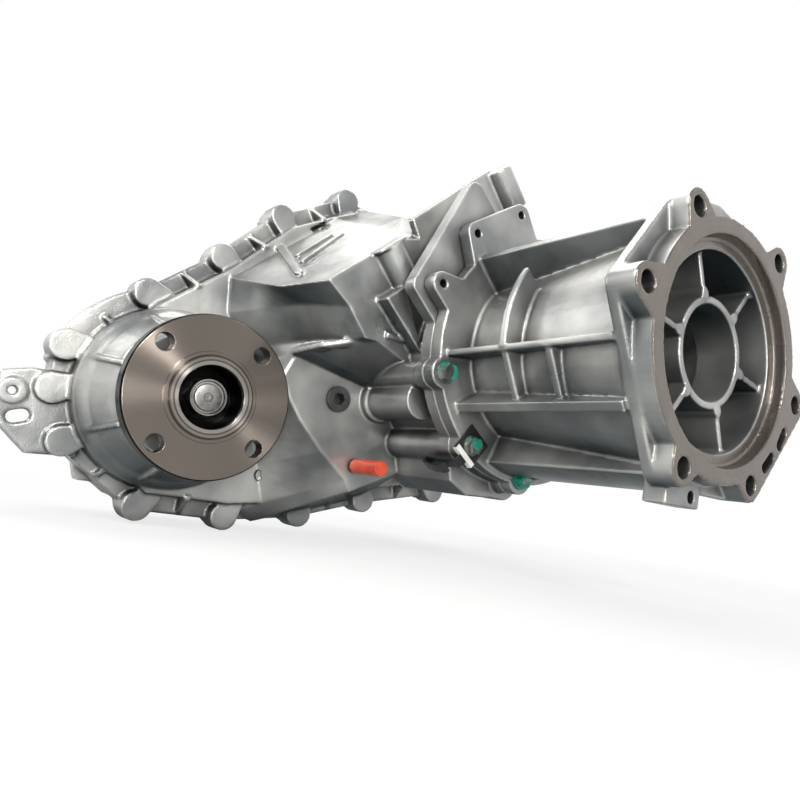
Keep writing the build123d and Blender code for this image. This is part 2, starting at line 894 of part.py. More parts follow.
def front_case():
    flange_front = parting_x + case_flange
    joint_rear = joint_x - joint_flange
    body = slab(parting_flange_sketch(), parting_x, flange_front)
    body += slab(skirt_sketch(), flange_front, skirt_x)
    body += dome()
    body += filler_face()
    body += rod(flange_front, joint_x, main_barrel_radius)
    body += rod(flange_front, front_wall_x, cam_tower_radius, cam_place)
    body += shoulder()
    for start, end, width in facet_bars:
        body += facet_bar(start, end, width)
    body -= facet_dimple()
    body += wall_rib()
    body += bolt_barrels()
    body += sump()
    body += slab(joint_sketch(), joint_rear, joint_x)
    body += bracket_ear()
    body += top_tower()
    body += web_plate()
    body += upper_tower()
    body += corner_web()
    for rib in skirt_ribs():
        body += rib
    for centre in parting_points():
        body += slab(boss_sketch([centre], boss_radius), parting_x, boss_front_x)
    outer_pad = [visible_bosses[index] for index in outer_pad_bosses]
    body += slab(boss_sketch(outer_pad, boss_radius), parting_x, boss_front_x)
    body -= slab(case_cavity_sketch(), parting_x - overshoot, skirt_x - case_wall)
    body -= rod(parting_x - overshoot, input_bearing_rear_x, ring_gear_radius)
    body -= rod(parting_x - overshoot, front_wall_x - 6, cam_radius + 3, cam_place)
    body -= rod(parting_x - overshoot, rail_front_x - 4, fork_hub_radius + 2, rail_place)
    body += rail_boss()
    input_seat_end = input_bearing_rear_x + input_bearing_width
    body -= rod(input_bearing_rear_x - overshoot, input_seat_end, input_bearing_radius)
    body -= rod(joint_x - 20, joint_x + overshoot, input_bearing_radius - 6)
    body -= rod(parting_x - overshoot, front_bearing_rear_x, front_bearing_radius + 8, front_axis)
    front_seat_end = front_bearing_rear_x + front_bearing_width
    body -= rod(front_bearing_rear_x - overshoot, front_seat_end, front_bearing_radius, front_axis)
    body -= rod(front_bearing_rear_x, nose_x + overshoot, seal_radius, front_axis)
    for bolt in joint_bolts():
        body -= rod(joint_x - bolt_engagement, joint_x + overshoot, bolt_radius, bolt)
    for centre in parting_points():
        body -= rod(parting_x - overshoot, parting_x + bolt_engagement - 8, bolt_radius, centre)
    body -= rod(front_wall_x - 14, front_wall_x + overshoot, filler_plug_radius, filler_plug_place)
    body -= rod(front_wall_x - 12, front_wall_x + overshoot, breather_stem_radius, breather_place)
    plug_rear = skirt_x - blanking_plug_length
    return body - rod(plug_rear, skirt_x + overshoot, blanking_plug_radius, blanking_plug_place)


def rail_boss():
    """The lug in the gear chamber that holds the front end of the shift rail."""
    angle = degrees(atan2(rail_place[1], rail_place[0]))
    root = polar(ring_gear_radius + 4, angle)
    sketch = make_hull((disc(rail_radius + 5, rail_place) + disc(rail_radius + 5, root)).edges())
    body = slab(sketch, rail_front_x - 4, rail_front_x + 7.5)
    return body - rod(rail_front_x - 5, rail_front_x, rail_radius, rail_place)


# Rear case and extension
def extension_bolts_places():
    step = 360 / extension_bolt_count
    return [polar(extension_bolt_circle / 2, 15 + index * step) for index in range(extension_bolt_count)]


def rear_case():
    flange_rear = parting_x - case_flange
    inner_wall_x = rear_wall_x + case_wall
    body = slab(parting_flange_sketch(), flange_rear, parting_x)
    body += slab(skirt_sketch(), rear_wall_x, flange_rear)
    for centre in parting_points():
        body += slab(boss_sketch([centre], rear_boss_radius), flange_rear, parting_x)
    body += slab(outline(rear_foot_corners), flange_rear - rear_foot_thickness, flange_rear)
    body -= slab(case_cavity_sketch(), inner_wall_x, parting_x + overshoot)
    body += rod(rear_wall_x, main_bearing_front_x, main_bearing_radius + 8)
    body += rod(rear_wall_x, tail_bearing_front_x, front_tail_bearing_radius + 7, front_axis)
    body += rod(rear_wall_x, rail_rear_x + 10, rail_radius + 5, rail_place)
    body += rod(rear_wall_x, inner_wall_x + 6, cam_shaft_radius + 6, cam_place)
    for step in range(rear_rib_count):
        angle = rear_rib_first_angle + step * rear_rib_pitch
        rib = radial_plate(extension_flange_radius + 2, rear_rib_reach, angle, rear_rib_thickness)
        body += slab(rib, rear_wall_x - rear_rib_height, rear_wall_x + 2)
    body += rod(rear_wall_x - rear_rib_height, rear_wall_x, front_tail_bearing_radius + 7, front_axis)
    body -= rod(rear_wall_x - overshoot, main_bearing_front_x + overshoot, main_bearing_radius)
    tail_seat = tail_bearing_front_x - front_tail_bearing_width
    body -= rod(tail_seat, tail_bearing_front_x + overshoot, front_tail_bearing_radius, front_axis)
    body -= rod(rail_rear_x, rail_rear_x + 11, rail_radius, rail_place)
    for centre in motor_feet():
        body -= rod(rear_wall_x - overshoot, rear_wall_x + case_wall - 2, bolt_radius, centre)
    body -= rod(rear_wall_x - overshoot, inner_wall_x + 7, cam_shaft_radius + slide_fit, cam_place)
    for bolt in extension_bolts_places():
        body -= rod(rear_wall_x - overshoot, rear_wall_x + bolt_engagement - 8, bolt_radius, bolt)
    for centre in parting_points():
        body -= rod(flange_rear - overshoot, parting_x + overshoot, bolt_radius + 0.5, centre)
    body += rod(rear_wall_x - drain_boss_height, inner_wall_x + 2, filler_plug_radius + 5, drain_plug_place)
    drain_rear = rear_wall_x - drain_boss_height - overshoot
    return body - rod(drain_rear, inner_wall_x + 3, filler_plug_radius, drain_plug_place)


def rear_extension():
    """The tail housing that carries the rear seal."""
    flange_rear = rear_wall_x - extension_flange_thickness
    body = rod(flange_rear, rear_wall_x, extension_flange_radius)
    body += cone(extension_x, seal_radius + case_wall, flange_rear, extension_root_radius)
    for step in range(extension_bolt_count):
        angle = 15 + (step + 0.5) * 360 / extension_bolt_count
        rib = radial_plate(seal_radius + 4, extension_flange_radius - 2, angle, case_wall - 2)
        body += slab(rib, flange_rear - extension_rib_length, flange_rear)
    body -= rod(extension_x + seal_width + 6, rear_wall_x + overshoot, seal_radius + 2)
    body -= rod(extension_x - overshoot, extension_x + seal_width + 7, seal_radius)
    for bolt in extension_bolts_places():
        body -= rod(flange_rear - overshoot, rear_wall_x + overshoot, bolt_radius + 0.5, bolt)
    return body


# Companion flanges, nuts and seals
def companion_flange():
    """A turned flange with its face at zero and its hub towards minus X."""
    hub_end = -flange_thickness - flange_hub_length
    body = rod(-flange_thickness, -flange_edge, flange_radius)
    body += cone(-flange_edge, flange_radius, 0, flange_radius - flange_edge)
    body += rod(0, spigot_foot_height, spigot_foot_radius)
    body += rod(0, spigot_height, spigot_radius)
    body += rod(hub_end, -flange_thickness, flange_hub_radius + 4)
    neck_end = hub_end + flange_hub_length - flange_neck_length
    body -= ring(hub_end - overshoot, neck_end, flange_hub_radius + 9, flange_hub_radius)
    body -= rod(-flange_nut_seat, spigot_height + overshoot, flange_recess_radius)
    body -= rod(hub_end - overshoot, 1, shaft_spline_radius + slide_fit)
    for step in range(flange_hole_count):
        angle = flange_first_angle + step * 360 / flange_hole_count
        body -= rod(-flange_thickness - 1, 1, flange_hole_radius, polar(flange_bolt_circle / 2, angle))
    return body


def flange_nut():
    """The hexagon nut with its round locking collar on top, seated in the flange recess."""
    collar_start = -flange_nut_seat + flange_nut_height - flange_nut_collar_height
    hexagon = slab(RegularPolygon(flange_nut_radius, 6), -flange_nut_seat, collar_start)
    collar = rod(collar_start, -flange_nut_seat + flange_nut_height, flange_nut_collar_radius)
    return hexagon + collar - rod(-flange_nut_seat - 1, 1, shaft_thread_radius + slide_fit)


def at_front(solid):
    return Pos(front_flange_x, front_axis[0], front_axis[1]) * solid


def at_rear(solid):
    return Pos(rear_flange_x, 0, 0) * Rot(0, 0, 180) * solid


def front_flange():
    return at_front(companion_flange())


def rear_flange():
    return at_rear(companion_flange())


def front_flange_nut():
    return at_front(flange_nut())


def rear_flange_nut():
    return at_rear(flange_nut())


def front_output_seal():
    seal_front = nose_x - 2
    return ring(seal_front - seal_width, seal_front, seal_radius, flange_hub_radius + slide_fit, front_axis)


def rear_output_seal():
    return ring(extension_x + 2, extension_x + 2 + seal_width, seal_radius, flange_hub_radius + slide_fit)


def input_seal():
    seal_rear = joint_x
    return ring(seal_rear, seal_rear + seal_width, adapter_rear_bore, input_bearing_bore + slide_fit)


# Bearings
def input_bearing():
    rear = input_bearing_rear_x
    return ring(rear, rear + input_bearing_width, input_bearing_radius, input_bearing_bore + bearing_fit)


def front_output_bearing():
    rear = front_bearing_rear_x
    bore = front_bearing_bore + bearing_fit
    return ring(rear, rear + front_bearing_width, front_bearing_radius, bore, front_axis)


def front_tail_bearing():
    front = tail_bearing_front_x
    return ring(front - front_tail_bearing_width, front, front_tail_bearing_radius,
                front_tail_bearing_bore + bearing_fit, front_axis)


def main_shaft_bearing():
    front = main_bearing_front_x
    return ring(front - main_bearing_width, front, main_bearing_radius, main_bearing_bore + bearing_fit)


# Gears
def tooth_points(teeth, centre_radius, inward, turn):
    """Straight-sided teeth on a pitch circle, as one closed list of points."""
    pitch_angle = 360 / teeth
    reach = gear_module * tooth_reach
    depth = gear_module * tooth_depth
    side = -1 if inward else 1
    tip = centre_radius + side * reach
    root = centre_radius - side * depth
    corners = (
        (root, -tooth_root_share), (tip, -tooth_tip_share), (tip, tooth_tip_share), (root, tooth_root_share),
    )
    points = []
    for tooth in range(teeth):
        middle = turn + tooth * pitch_angle
        for radius, share in corners:
            points.append(polar(radius, middle + share * pitch_angle))
    return points


def sun_radius():
    return sun_teeth * gear_module / 2


def planet_radius():
    return planet_teeth * gear_module / 2


def ring_teeth():
    return sun_teeth + 2 * planet_teeth


def carrier_radius():
    return sun_radius() + planet_radius()


def gear_rear_x():
    return -planetary_place - gear_width


def input_shaft():
    """The input shaft with its splined socket in front and the sun gear behind."""
    gear_rear = gear_rear_x()
    body = rod(gear_rear, input_front_x, input_bearing_bore)
    body += slab(outline(tooth_points(sun_teeth, sun_radius(), False, 0)), gear_rear, -planetary_place)
    body -= rod(gear_rear - overshoot, gear_rear + sun_counterbore, sun_bore_radius)
    body -= rod(gear_rear, main_nose_x, main_nose_radius + slide_fit)
    body -= rod(input_front_x - input_socket_depth, input_front_x + overshoot, input_socket_radius)
    return body


def ring_gear():
    gear_rear = gear_rear_x()
    teeth = outline(tooth_points(ring_teeth(), ring_teeth() * gear_module / 2, True, 0))
    return slab(disc(ring_gear_radius) - teeth, gear_rear, -planetary_place)


def planet_places():
    return [polar(carrier_radius(), 90 + index * 360 / planet_count) for index in range(planet_count)]


def planet_gear(index):
    centre = planet_places()[index]
    angle = 90 + index * 360 / planet_count
    # A gap of the planet faces a tooth of the sun along the line of centres.
    sun_phase = angle / (360 / sun_teeth)
    turn = angle + 180 + (0.5 + sun_phase) * 360 / planet_teeth
    teeth = tooth_points(planet_teeth, planet_radius(), False, turn)
    sketch = Pos(*centre) * outline(teeth) - disc(planet_pin_radius + slide_fit, centre)
    return slab(sketch, gear_rear_x() + running_gap, -planetary_place - running_gap)


def planet_carrier():
    rear = gear_rear_x()
    outer = carrier_radius() + planet_pin_radius + 4
    body = ring(rear - carrier_plate - running_gap, rear - running_gap, outer, sun_bore_radius)
    front = -planetary_place + running_gap
    body += ring(front, front + carrier_plate - 1 - running_gap, outer, input_bearing_bore + 4)
    for index in range(planet_count):
        post = polar(carrier_radius() + 1, 90 + (index + 0.5) * 360 / planet_count)
        body += rod(rear - running_gap - 1, -planetary_place + running_gap + 1, carrier_post_radius, post)
    for centre in planet_places():
        body -= rod(rear - carrier_plate - 2, -planetary_place + carrier_plate, planet_pin_radius, centre)
    return body


def planet_pins():
    rear = gear_rear_x() - carrier_plate - running_gap
    front = -planetary_place + carrier_plate - 1
    return Compound(children=[rod(rear, front, planet_pin_radius, centre) for centre in planet_places()])


# Main shaft and shift parts
def main_shaft():
    shoulder_x = gear_rear_x() + sun_counterbore - 1
    body = rod(shoulder_x, main_nose_x - overshoot, main_nose_radius)
    body += rod(mode_hub_x + mode_hub_length, shoulder_x, main_shaft_radius)
    body += rod(mode_hub_x, mode_hub_x + mode_hub_length, mode_hub_radius)
    body += rod(main_bearing_front_x, mode_hub_x, sprocket_bore_radius)
    body += rod(main_bearing_front_x - main_bearing_width, main_bearing_front_x, main_bearing_bore)
    hub_front = rear_flange_x + flange_thickness + flange_hub_length
    body += rod(hub_front, main_bearing_front_x - main_bearing_width, main_shaft_radius)
    body += rod(rear_flange_x + flange_nut_seat, hub_front, shaft_spline_radius)
    thread_end = rear_flange_x + flange_nut_seat - flange_nut_height - thread_stick_out
    return body + rod(thread_end, rear_flange_x + flange_nut_seat, shaft_thread_radius)


def collared_sleeve(rear, front, outer, inner, groove_rear):
    """A sliding sleeve with two collars that take the fork between them."""
    groove_front = groove_rear + fork_thickness + 0.4
    body = rod(rear, front, outer)
    body += rod(groove_rear - collar_thickness, groove_rear, outer + collar_height)
    body += rod(groove_front, groove_front + collar_thickness, outer + collar_height)
    return body - rod(rear - overshoot, front + overshoot, inner)


def range_sleeve():
    rear = range_groove_x - collar_thickness
    bore = main_shaft_radius + slide_fit
    return collared_sleeve(rear, range_sleeve_front_x, range_sleeve_radius, bore, range_groove_x)


def mode_sleeve():
    rear = mode_groove_x - collar_thickness - 10
    front = mode_groove_x + fork_thickness + 0.4 + collar_thickness
    return collared_sleeve(rear, front, mode_sleeve_radius, mode_hub_radius + slide_fit, mode_groove_x)


def shift_fork(groove_rear, sleeve_radius):
    """A half-round fork in the sleeve groove with its hub on the rail."""
    plate_rear = groove_rear + 0.2
    plate_front = plate_rear + fork_thickness
    inner = sleeve_radius + 0.5
    outer = inner + fork_width
    angle = degrees(atan2(rail_place[1], rail_place[0]))
    yoke = disc(outer) - disc(inner)
    yoke -= Rot(0, 0, angle) * Pos(-outer, 0) * Rectangle(2 * outer - 8, 3 * outer)
    hub_reach = hypot(*rail_place)
    arm = radial_plate(outer - 3, hub_reach, angle, fork_width + 6)
    middle = (plate_rear + plate_front) / 2
    body = slab(yoke, plate_rear, plate_front) + slab(arm, plate_rear, plate_front)
    body += rod(middle - fork_hub_length / 2, middle + fork_hub_length / 2, fork_hub_radius, rail_place)
    bore = rail_radius + slide_fit
    return body - rod(middle - fork_hub_length, middle + fork_hub_length, bore, rail_place)


def range_fork():
    return shift_fork(range_groove_x, range_sleeve_radius)


def mode_fork():
    return shift_fork(mode_groove_x, mode_sleeve_radius)


def shift_rail():
    return rod(rail_rear_x, rail_front_x, rail_radius, rail_place)


def shift_cam():
    """The actuator drum with its shaft, turned by the motor behind the case."""
    body = rod(cam_rear_x, cam_front_x, cam_radius, cam_place)
    return body + rod(rear_wall_x - 12, cam_rear_x, cam_shaft_radius, cam_place)


def shift_motor():
    rear = rear_wall_x - motor_length
    body = rod(rear, rear_wall_x, motor_radius, cam_place)
    feet = disc(motor_foot_radius, motor_feet()[0]) + disc(motor_foot_radius, motor_feet()[1])
    body += slab(make_hull(feet.edges()), rear_wall_x - motor_foot_height, rear_wall_x)
    for centre in motor_feet():
        body -= rod(rear - overshoot, rear_wall_x - motor_foot_height, bolt_washer_radius + 0.5, centre)
        body -= rod(rear_wall_x - 9, rear_wall_x + overshoot, bolt_radius + 0.3, centre)
    return body - rod(rear_wall_x - 14, rear_wall_x + overshoot, cam_shaft_radius + 0.3, cam_place)


def motor_feet():
    reach = motor_radius + motor_foot_radius - 4
    return [polar(reach, angle, cam_place) for angle in (motor_foot_angle, motor_foot_angle + 180)]


# Chain drive
def sprocket_outline(centre):
    radius = sprocket_radius()
    pitch_angle = 360 / sprocket_teeth
    corners = (
        (-sprocket_root, -sprocket_root_share), (sprocket_tip, -sprocket_tip_share),
        (sprocket_tip, sprocket_tip_share), (-sprocket_root, sprocket_root_share),
    )
    points = []
    for tooth in range(sprocket_teeth):
        middle = front_axis_angle + 90 + tooth * pitch_angle
        for reach, share in corners:
            points.append(polar(radius + reach, middle + share * pitch_angle, centre))
    return outline(points)


def sprocket_radius():
    return chain_pitch / (2 * sin(radians(180 / sprocket_teeth)))


def drive_sprocket():
    rear = chain_x - sprocket_width / 2
    front = chain_x + sprocket_width / 2
    body = slab(sprocket_outline(main_axis), rear, front)
    body += rod(front, mode_hub_x - 1.5, mode_hub_radius)
    return body - rod(rear - overshoot, mode_hub_x, sprocket_bore_radius + slide_fit)


def driven_sprocket():
    rear = chain_x - sprocket_width / 2
    front = chain_x + sprocket_width / 2
    body = slab(sprocket_outline(front_axis), rear, front)
    return body - rod(rear - overshoot, front + overshoot, front_sprocket_seat_radius, front_axis)


def drive_chain():
    """Link blocks all round both sprockets, evenly pitched along the loop."""
    radius = sprocket_radius() + sprocket_tip + running_gap + chain_height / 2
    half = chain_drop
    direction = front_axis_angle
    arc = pi * radius
    total = 2 * half + 2 * arc
    forward = (cos(radians(direction)), sin(radians(direction)))
    link_length = total / chain_links * chain_link_share
    links = []
    for link in range(chain_links):
        travel = (link + 0.5) * total / chain_links
        if travel < half:
            start = polar(radius, direction + 90)
            place = (start[0] + travel * forward[0], start[1] + travel * forward[1])
            turn = direction
        elif travel < half + arc:
            swing = degrees((travel - half) / radius)
            place = polar(radius, direction + 90 - swing, front_axis)
            turn = direction - swing
        elif travel < 2 * half + arc:
            back = travel - half - arc
            start = polar(radius, direction - 90, front_axis)
            place = (start[0] - back * forward[0], start[1] - back * forward[1])
            turn = direction + 180
        else:
            swing = degrees((travel - 2 * half - arc) / radius)
            place = polar(radius, direction - 90 - swing)
            turn = direction + 180 - swing
        block = Pos(*place) * Rot(0, 0, turn) * Rectangle(link_length, chain_height)
        links.append(slab(block, chain_x - chain_width / 2, chain_x + chain_width / 2))
    return Compound(children=links)


def front_output_shaft():
    hub_rear = front_flange_x - flange_thickness - flange_hub_length
    body = rod(front_bearing_rear_x, hub_rear, front_bearing_bore, front_axis)
    body += rod(tail_bearing_front_x, front_bearing_rear_x, front_sprocket_seat_radius, front_axis)
    tail_end = tail_bearing_front_x - front_tail_bearing_width
    body += rod(tail_end, tail_bearing_front_x, front_tail_bearing_bore, front_axis)
    seat = front_flange_x - flange_nut_seat
    body += rod(hub_rear, seat, shaft_spline_radius, front_axis)
    return body + rod(seat, seat + flange_nut_height + thread_stick_out, shaft_thread_radius, front_axis)


def oil_pump():
    rear = main_bearing_front_x
    return ring(rear, rear + oil_pump_width, oil_pump_radius, sprocket_bore_radius + slide_fit)


# Fasteners and small parts
def bolt(head_x, centre, length, direction):
    """A hexagon bolt whose head bears on head_x and whose shank runs along direction."""
    end_x = head_x + direction * length
    top_x = head_x - direction * bolt_head_height
    shank = rod(min(head_x, end_x), max(head_x, end_x), bolt_radius, centre)
    hexagon = Pos(*centre) * RegularPolygon(bolt_head_across_flats / sqrt(3), 6)
    return shank + slab(hexagon, min(head_x, top_x), max(head_x, top_x))


def flanged_bolt(head_x, centre, length, direction):
    """The same bolt with a round washer face under its head."""
    washer_x = head_x - direction * bolt_washer_height
    washer = rod(min(head_x, washer_x), max(head_x, washer_x), bolt_washer_radius, centre)
    return bolt(head_x, centre, length, direction) + washer


def adapter_bolts():
    head_x = joint_x + joint_flange
    length = joint_flange + bolt_engagement - 3
    return Compound(children=[flanged_bolt(head_x, place, length, -1) for place in joint_bolts()])


def case_bolts():
    head_x = parting_x - case_flange
    length = case_flange + bolt_engagement - 10
    return Compound(children=[bolt(head_x, place, length, 1) for place in parting_points()])


def extension_bolts():
    head_x = rear_wall_x - extension_flange_thickness
    length = extension_flange_thickness + bolt_engagement - 10
    return Compound(children=[bolt(head_x, place, length, 1) for place in extension_bolts_places()])


def motor_bolts():
    head_x = rear_wall_x - motor_foot_height
    length = motor_foot_height + case_wall - 3
    return Compound(children=[bolt(head_x, place, length, 1) for place in motor_feet()])


def filler_plug():
    body = rod(front_wall_x - 12, front_wall_x, filler_plug_radius, filler_plug_place)
    body += rod(front_wall_x, front_wall_x + 3, filler_plug_radius + 2, filler_plug_place)
    socket = Pos(*filler_plug_place) * RegularPolygon(filler_plug_socket, 6)
    return body - slab(socket, front_wall_x - 6, front_wall_x + 4)


def blanking_plug():
    """The small slotted plug beside the filler face."""
    plug_front = skirt_x + blanking_plug_height
    body = rod(skirt_x - blanking_plug_length, plug_front, blanking_plug_radius, blanking_plug_place)
    slot = Rot(0, 0, 60) * Rectangle(3 * blanking_plug_radius, blanking_plug_slot_width)
    slot_floor = plug_front - blanking_plug_slot_depth
    return body - slab(Pos(*blanking_plug_place) * slot, slot_floor, plug_front + overshoot)


def harness_clip():
    """The bent sheet clip round one joint bolt, with a tab that runs back along the case."""
    centre = joint_bolts()[clip_bolt]
    angle = joint_bolt_first_angle + clip_bolt * joint_bolt_pitch
    seat = joint_x + joint_flange
    tab_place = polar(clip_tab_reach, angle, centre)
    sheet = Pos(*centre) * Rot(0, 0, angle) * Rectangle(clip_plate_size, clip_plate_size)
    bridge_place = polar(clip_tab_reach / 2, angle, centre)
    sheet += Pos(*bridge_place) * Rot(0, 0, angle) * Rectangle(clip_tab_reach, clip_tab_width)
    sheet -= disc(bolt_washer_radius + running_gap, centre)
    tab = Pos(*tab_place) * Rot(0, 0, angle) * Rectangle(clip_thickness, clip_tab_width)
    body = slab(sheet, seat, seat + clip_thickness)
    return body + slab(tab, seat - clip_tab_length, seat + clip_thickness)


def drain_plug():
    seat = rear_wall_x - drain_boss_height
    body = rod(seat, rear_wall_x + case_wall, filler_plug_radius, drain_plug_place)
    body += rod(seat - 3, seat, filler_plug_radius + 2, drain_plug_place)
    socket = Pos(*drain_plug_place) * RegularPolygon(filler_plug_socket, 6)
    return body - slab(socket, seat - 4, seat + 4)


def breather_stem():
    return rod(front_wall_x - 10, front_wall_x + breather_stem_length, breather_stem_radius, breather_place)


def breather_cap():
    body = rod(front_wall_x + 3, front_wall_x + breather_cap_length, breather_cap_radius, breather_place)
    stem_end = front_wall_x + breather_stem_length
    return body - rod(front_wall_x + 2, stem_end, breather_stem_radius, breather_place)


pieces = {
    "adapter_housing": adapter_housing,
    "front_case": front_case,
    "rear_case": rear_case,
    "rear_extension": rear_extension,
    "front_flange": front_flange,
    "rear_flange": rear_flange,
    "front_flange_nut": front_flange_nut,
    "rear_flange_nut": rear_flange_nut,
    "front_output_seal": front_output_seal,
    "rear_output_seal": rear_output_seal,
    "input_seal": input_seal,
    "input_bearing": input_bearing,
    "front_output_bearing": front_output_bearing,
    "front_tail_bearing": front_tail_bearing,
    "main_shaft_bearing": main_shaft_bearing,
    "input_shaft": input_shaft,
    "ring_gear": ring_gear,
    "planet_carrier": planet_carrier,
    "planet_pins": planet_pins,
    "main_shaft": main_shaft,
    "range_sleeve": range_sleeve,
    "mode_sleeve": mode_sleeve,
    "range_fork": range_fork,
    "mode_fork": mode_fork,
    "shift_rail": shift_rail,
    "shift_cam": shift_cam,
    "shift_motor": shift_motor,
    "drive_sprocket": drive_sprocket,
    "driven_sprocket": driven_sprocket,
    "drive_chain": drive_chain,
    "front_output_shaft": front_output_shaft,
    "oil_pump": oil_pump,
    "adapter_bolts": adapter_bolts,
    "case_bolts": case_bolts,
    "extension_bolts": extension_bolts,
    "motor_bolts": motor_bolts,
    "filler_plug": filler_plug,
    "drain_plug": drain_plug,
    "blanking_plug": blanking_plug,
    "harness_clip": harness_clip,
    "breather_stem": breather_stem,
    "breather_cap": breather_cap,
}

os.makedirs("parts", exist_ok=True)
for name, make in pieces.items():
    part = make()
    export_step(part, os.path.join("parts", name + ".step"))
    print(name, len(part.solids()), round(part.volume / 1000, 1), "cm3")
for index in range(planet_count):
    name = "planet_gear_" + str(index + 1)
    part = planet_gear(index)
    export_step(part, os.path.join("parts", name + ".step"))
    print(name, len(part.solids()), round(part.volume / 1000, 1), "cm3")
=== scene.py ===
import bpy
import bmesh
import json
import math
from mathutils import Matrix, Vector


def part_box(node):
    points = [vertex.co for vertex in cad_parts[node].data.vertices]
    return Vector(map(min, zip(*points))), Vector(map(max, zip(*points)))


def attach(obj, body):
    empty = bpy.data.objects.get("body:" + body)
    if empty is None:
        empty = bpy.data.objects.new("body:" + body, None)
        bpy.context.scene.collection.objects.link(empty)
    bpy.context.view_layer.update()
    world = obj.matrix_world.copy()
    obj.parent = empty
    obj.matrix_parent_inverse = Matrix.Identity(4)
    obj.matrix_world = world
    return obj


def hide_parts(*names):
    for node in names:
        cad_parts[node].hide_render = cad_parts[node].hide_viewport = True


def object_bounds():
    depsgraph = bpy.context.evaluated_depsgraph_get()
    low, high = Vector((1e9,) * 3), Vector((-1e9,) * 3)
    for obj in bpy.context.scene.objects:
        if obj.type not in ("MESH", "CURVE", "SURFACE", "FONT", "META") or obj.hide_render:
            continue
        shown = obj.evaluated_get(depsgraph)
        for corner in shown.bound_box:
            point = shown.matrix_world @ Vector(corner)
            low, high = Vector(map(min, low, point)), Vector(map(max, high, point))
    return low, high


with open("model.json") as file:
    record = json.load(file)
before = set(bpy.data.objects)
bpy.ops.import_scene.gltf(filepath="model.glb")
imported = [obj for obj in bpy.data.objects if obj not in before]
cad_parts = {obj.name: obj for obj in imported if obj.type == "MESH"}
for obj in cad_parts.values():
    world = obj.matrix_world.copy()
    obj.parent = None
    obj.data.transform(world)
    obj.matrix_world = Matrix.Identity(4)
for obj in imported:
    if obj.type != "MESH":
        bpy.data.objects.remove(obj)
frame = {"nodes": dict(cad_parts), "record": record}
cadLow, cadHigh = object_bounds()
cadNodes = frame["nodes"]
print("frame loaded", len(cadNodes), "nodes")

mm = 0.001


# Where the front output axis lies, from the flange's own box
def middleOf(nodeName):
    low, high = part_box(nodeName)
    return (low + high) / 2


frontAxis = middleOf("front_flange")
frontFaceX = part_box("front_flange")[1].x - 2.5 * mm
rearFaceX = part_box("rear_flange")[0].x + 2.5 * mm
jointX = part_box("adapter_housing")[0].x


# Node helpers for the materials
def newMaterial(name):
    material = bpy.data.materials.new(name)
    material.use_nodes = True
    tree = material.node_tree
    tree.nodes.clear()
    output = tree.nodes.new("ShaderNodeOutputMaterial")
    shader = tree.nodes.new("ShaderNodeBsdfPrincipled")
    tree.links.new(shader.outputs["BSDF"], output.inputs["Surface"])
    return material, tree, shader


def objectCoords(tree):
    return tree.nodes.new("ShaderNodeTexCoord").outputs["Object"]


def noise(tree, coords, scale, detail=3.0, roughness=0.55):
    node = tree.nodes.new("ShaderNodeTexNoise")
    node.inputs["Scale"].default_value = scale
    node.inputs["Detail"].default_value = detail
    node.inputs["Roughness"].default_value = roughness
    tree.links.new(coords, node.inputs["Vector"])
    return node.outputs["Fac"]


def remap(tree, value, low, high, newLow, newHigh):
    node = tree.nodes.new("ShaderNodeMapRange")
    numbers = {"From Min": low, "From Max": high, "To Min": newLow, "To Max": newHigh}
    for socket, number in numbers.items():
        node.inputs[socket].default_value = number
    tree.links.new(value, node.inputs["Value"])
    return node.outputs["Result"]


def calculate(tree, operation, first, second):
    node = tree.nodes.new("ShaderNodeMath")
    node.operation = operation
    for socket, value in ((node.inputs[0], first), (node.inputs[1], second)):
        if isinstance(value, (int, float)):
            socket.default_value = value
        else:
            tree.links.new(value, socket)
    return node.outputs[0]


def mixColour(tree, factor, first, second, blend="MIX"):
    node = tree.nodes.new("ShaderNodeMix")
    node.data_type = "RGBA"
    node.blend_type = blend
    for socket, value in ((node.inputs[0], factor), (node.inputs[6], first), (node.inputs[7], second)):
        if isinstance(value, (int, float)):
            socket.default_value = value
        elif isinstance(value, tuple):
            socket.default_value = (*value, 1.0)
        else:
            tree.links.new(value, socket)
    return node.outputs[2]


def addBump(tree, shader, height, distance, strength=1.0):
    node = tree.nodes.new("ShaderNodeBump")
    node.inputs["Distance"].default_value = distance
    node.inputs["Strength"].default_value = strength
    tree.links.new(height, node.inputs["Height"])
    tree.links.new(node.outputs["Normal"], shader.inputs["Normal"])
    return node


# Cast aluminium: blasted satin grey with cloudy patches, painted shade in corners and on faces that look
# down, and edges made brighter by wear and a painted highlight
castLook = {
    "light": (0.47, 0.47, 0.455),
    "dark": (0.24, 0.25, 0.25),
    # colour of sharp edges, brightened by wear and a painted highlight
    "edge": (0.78, 0.77, 0.74),
    # painted shade: a bluish tint multiplied into faces that look down
    "under": (0.15, 0.20, 0.22),
    "machined": (0.165, 0.145, 0.13),
    "machinedEdge": (0.24, 0.22, 0.20),
    "metal": 0.72,
    "patchScale": 20.0,
    "stainScale": 60.0,
    "ringScale": 500.0,
    "grainScale": 800.0,
    "grainHeight": 0.0002,
    "waveScale": 42.0,
    "waveHeight": 0.0015,
    "roughness": (0.27, 0.40),
    # reach and depth of the painted shade in corners and recesses
    "cornerReach": 0.020,
    "cornerShade": 0.22,
    "underFacing": (-0.97, -0.22),  # how far a face looks down: all dark, not dark
    "edgeWearAndHighlight": (0.52, 0.60),
    "edgeWearAndHighlightShare": 0.8,
    "millDepth": (-1.4 * mm, -1.0 * mm),  # the milled skin of the gearbox face
}
pilotRadius = 81.0 * mm  # the turned seat inside the gearbox flange
pilotDepth = 10.1 * mm


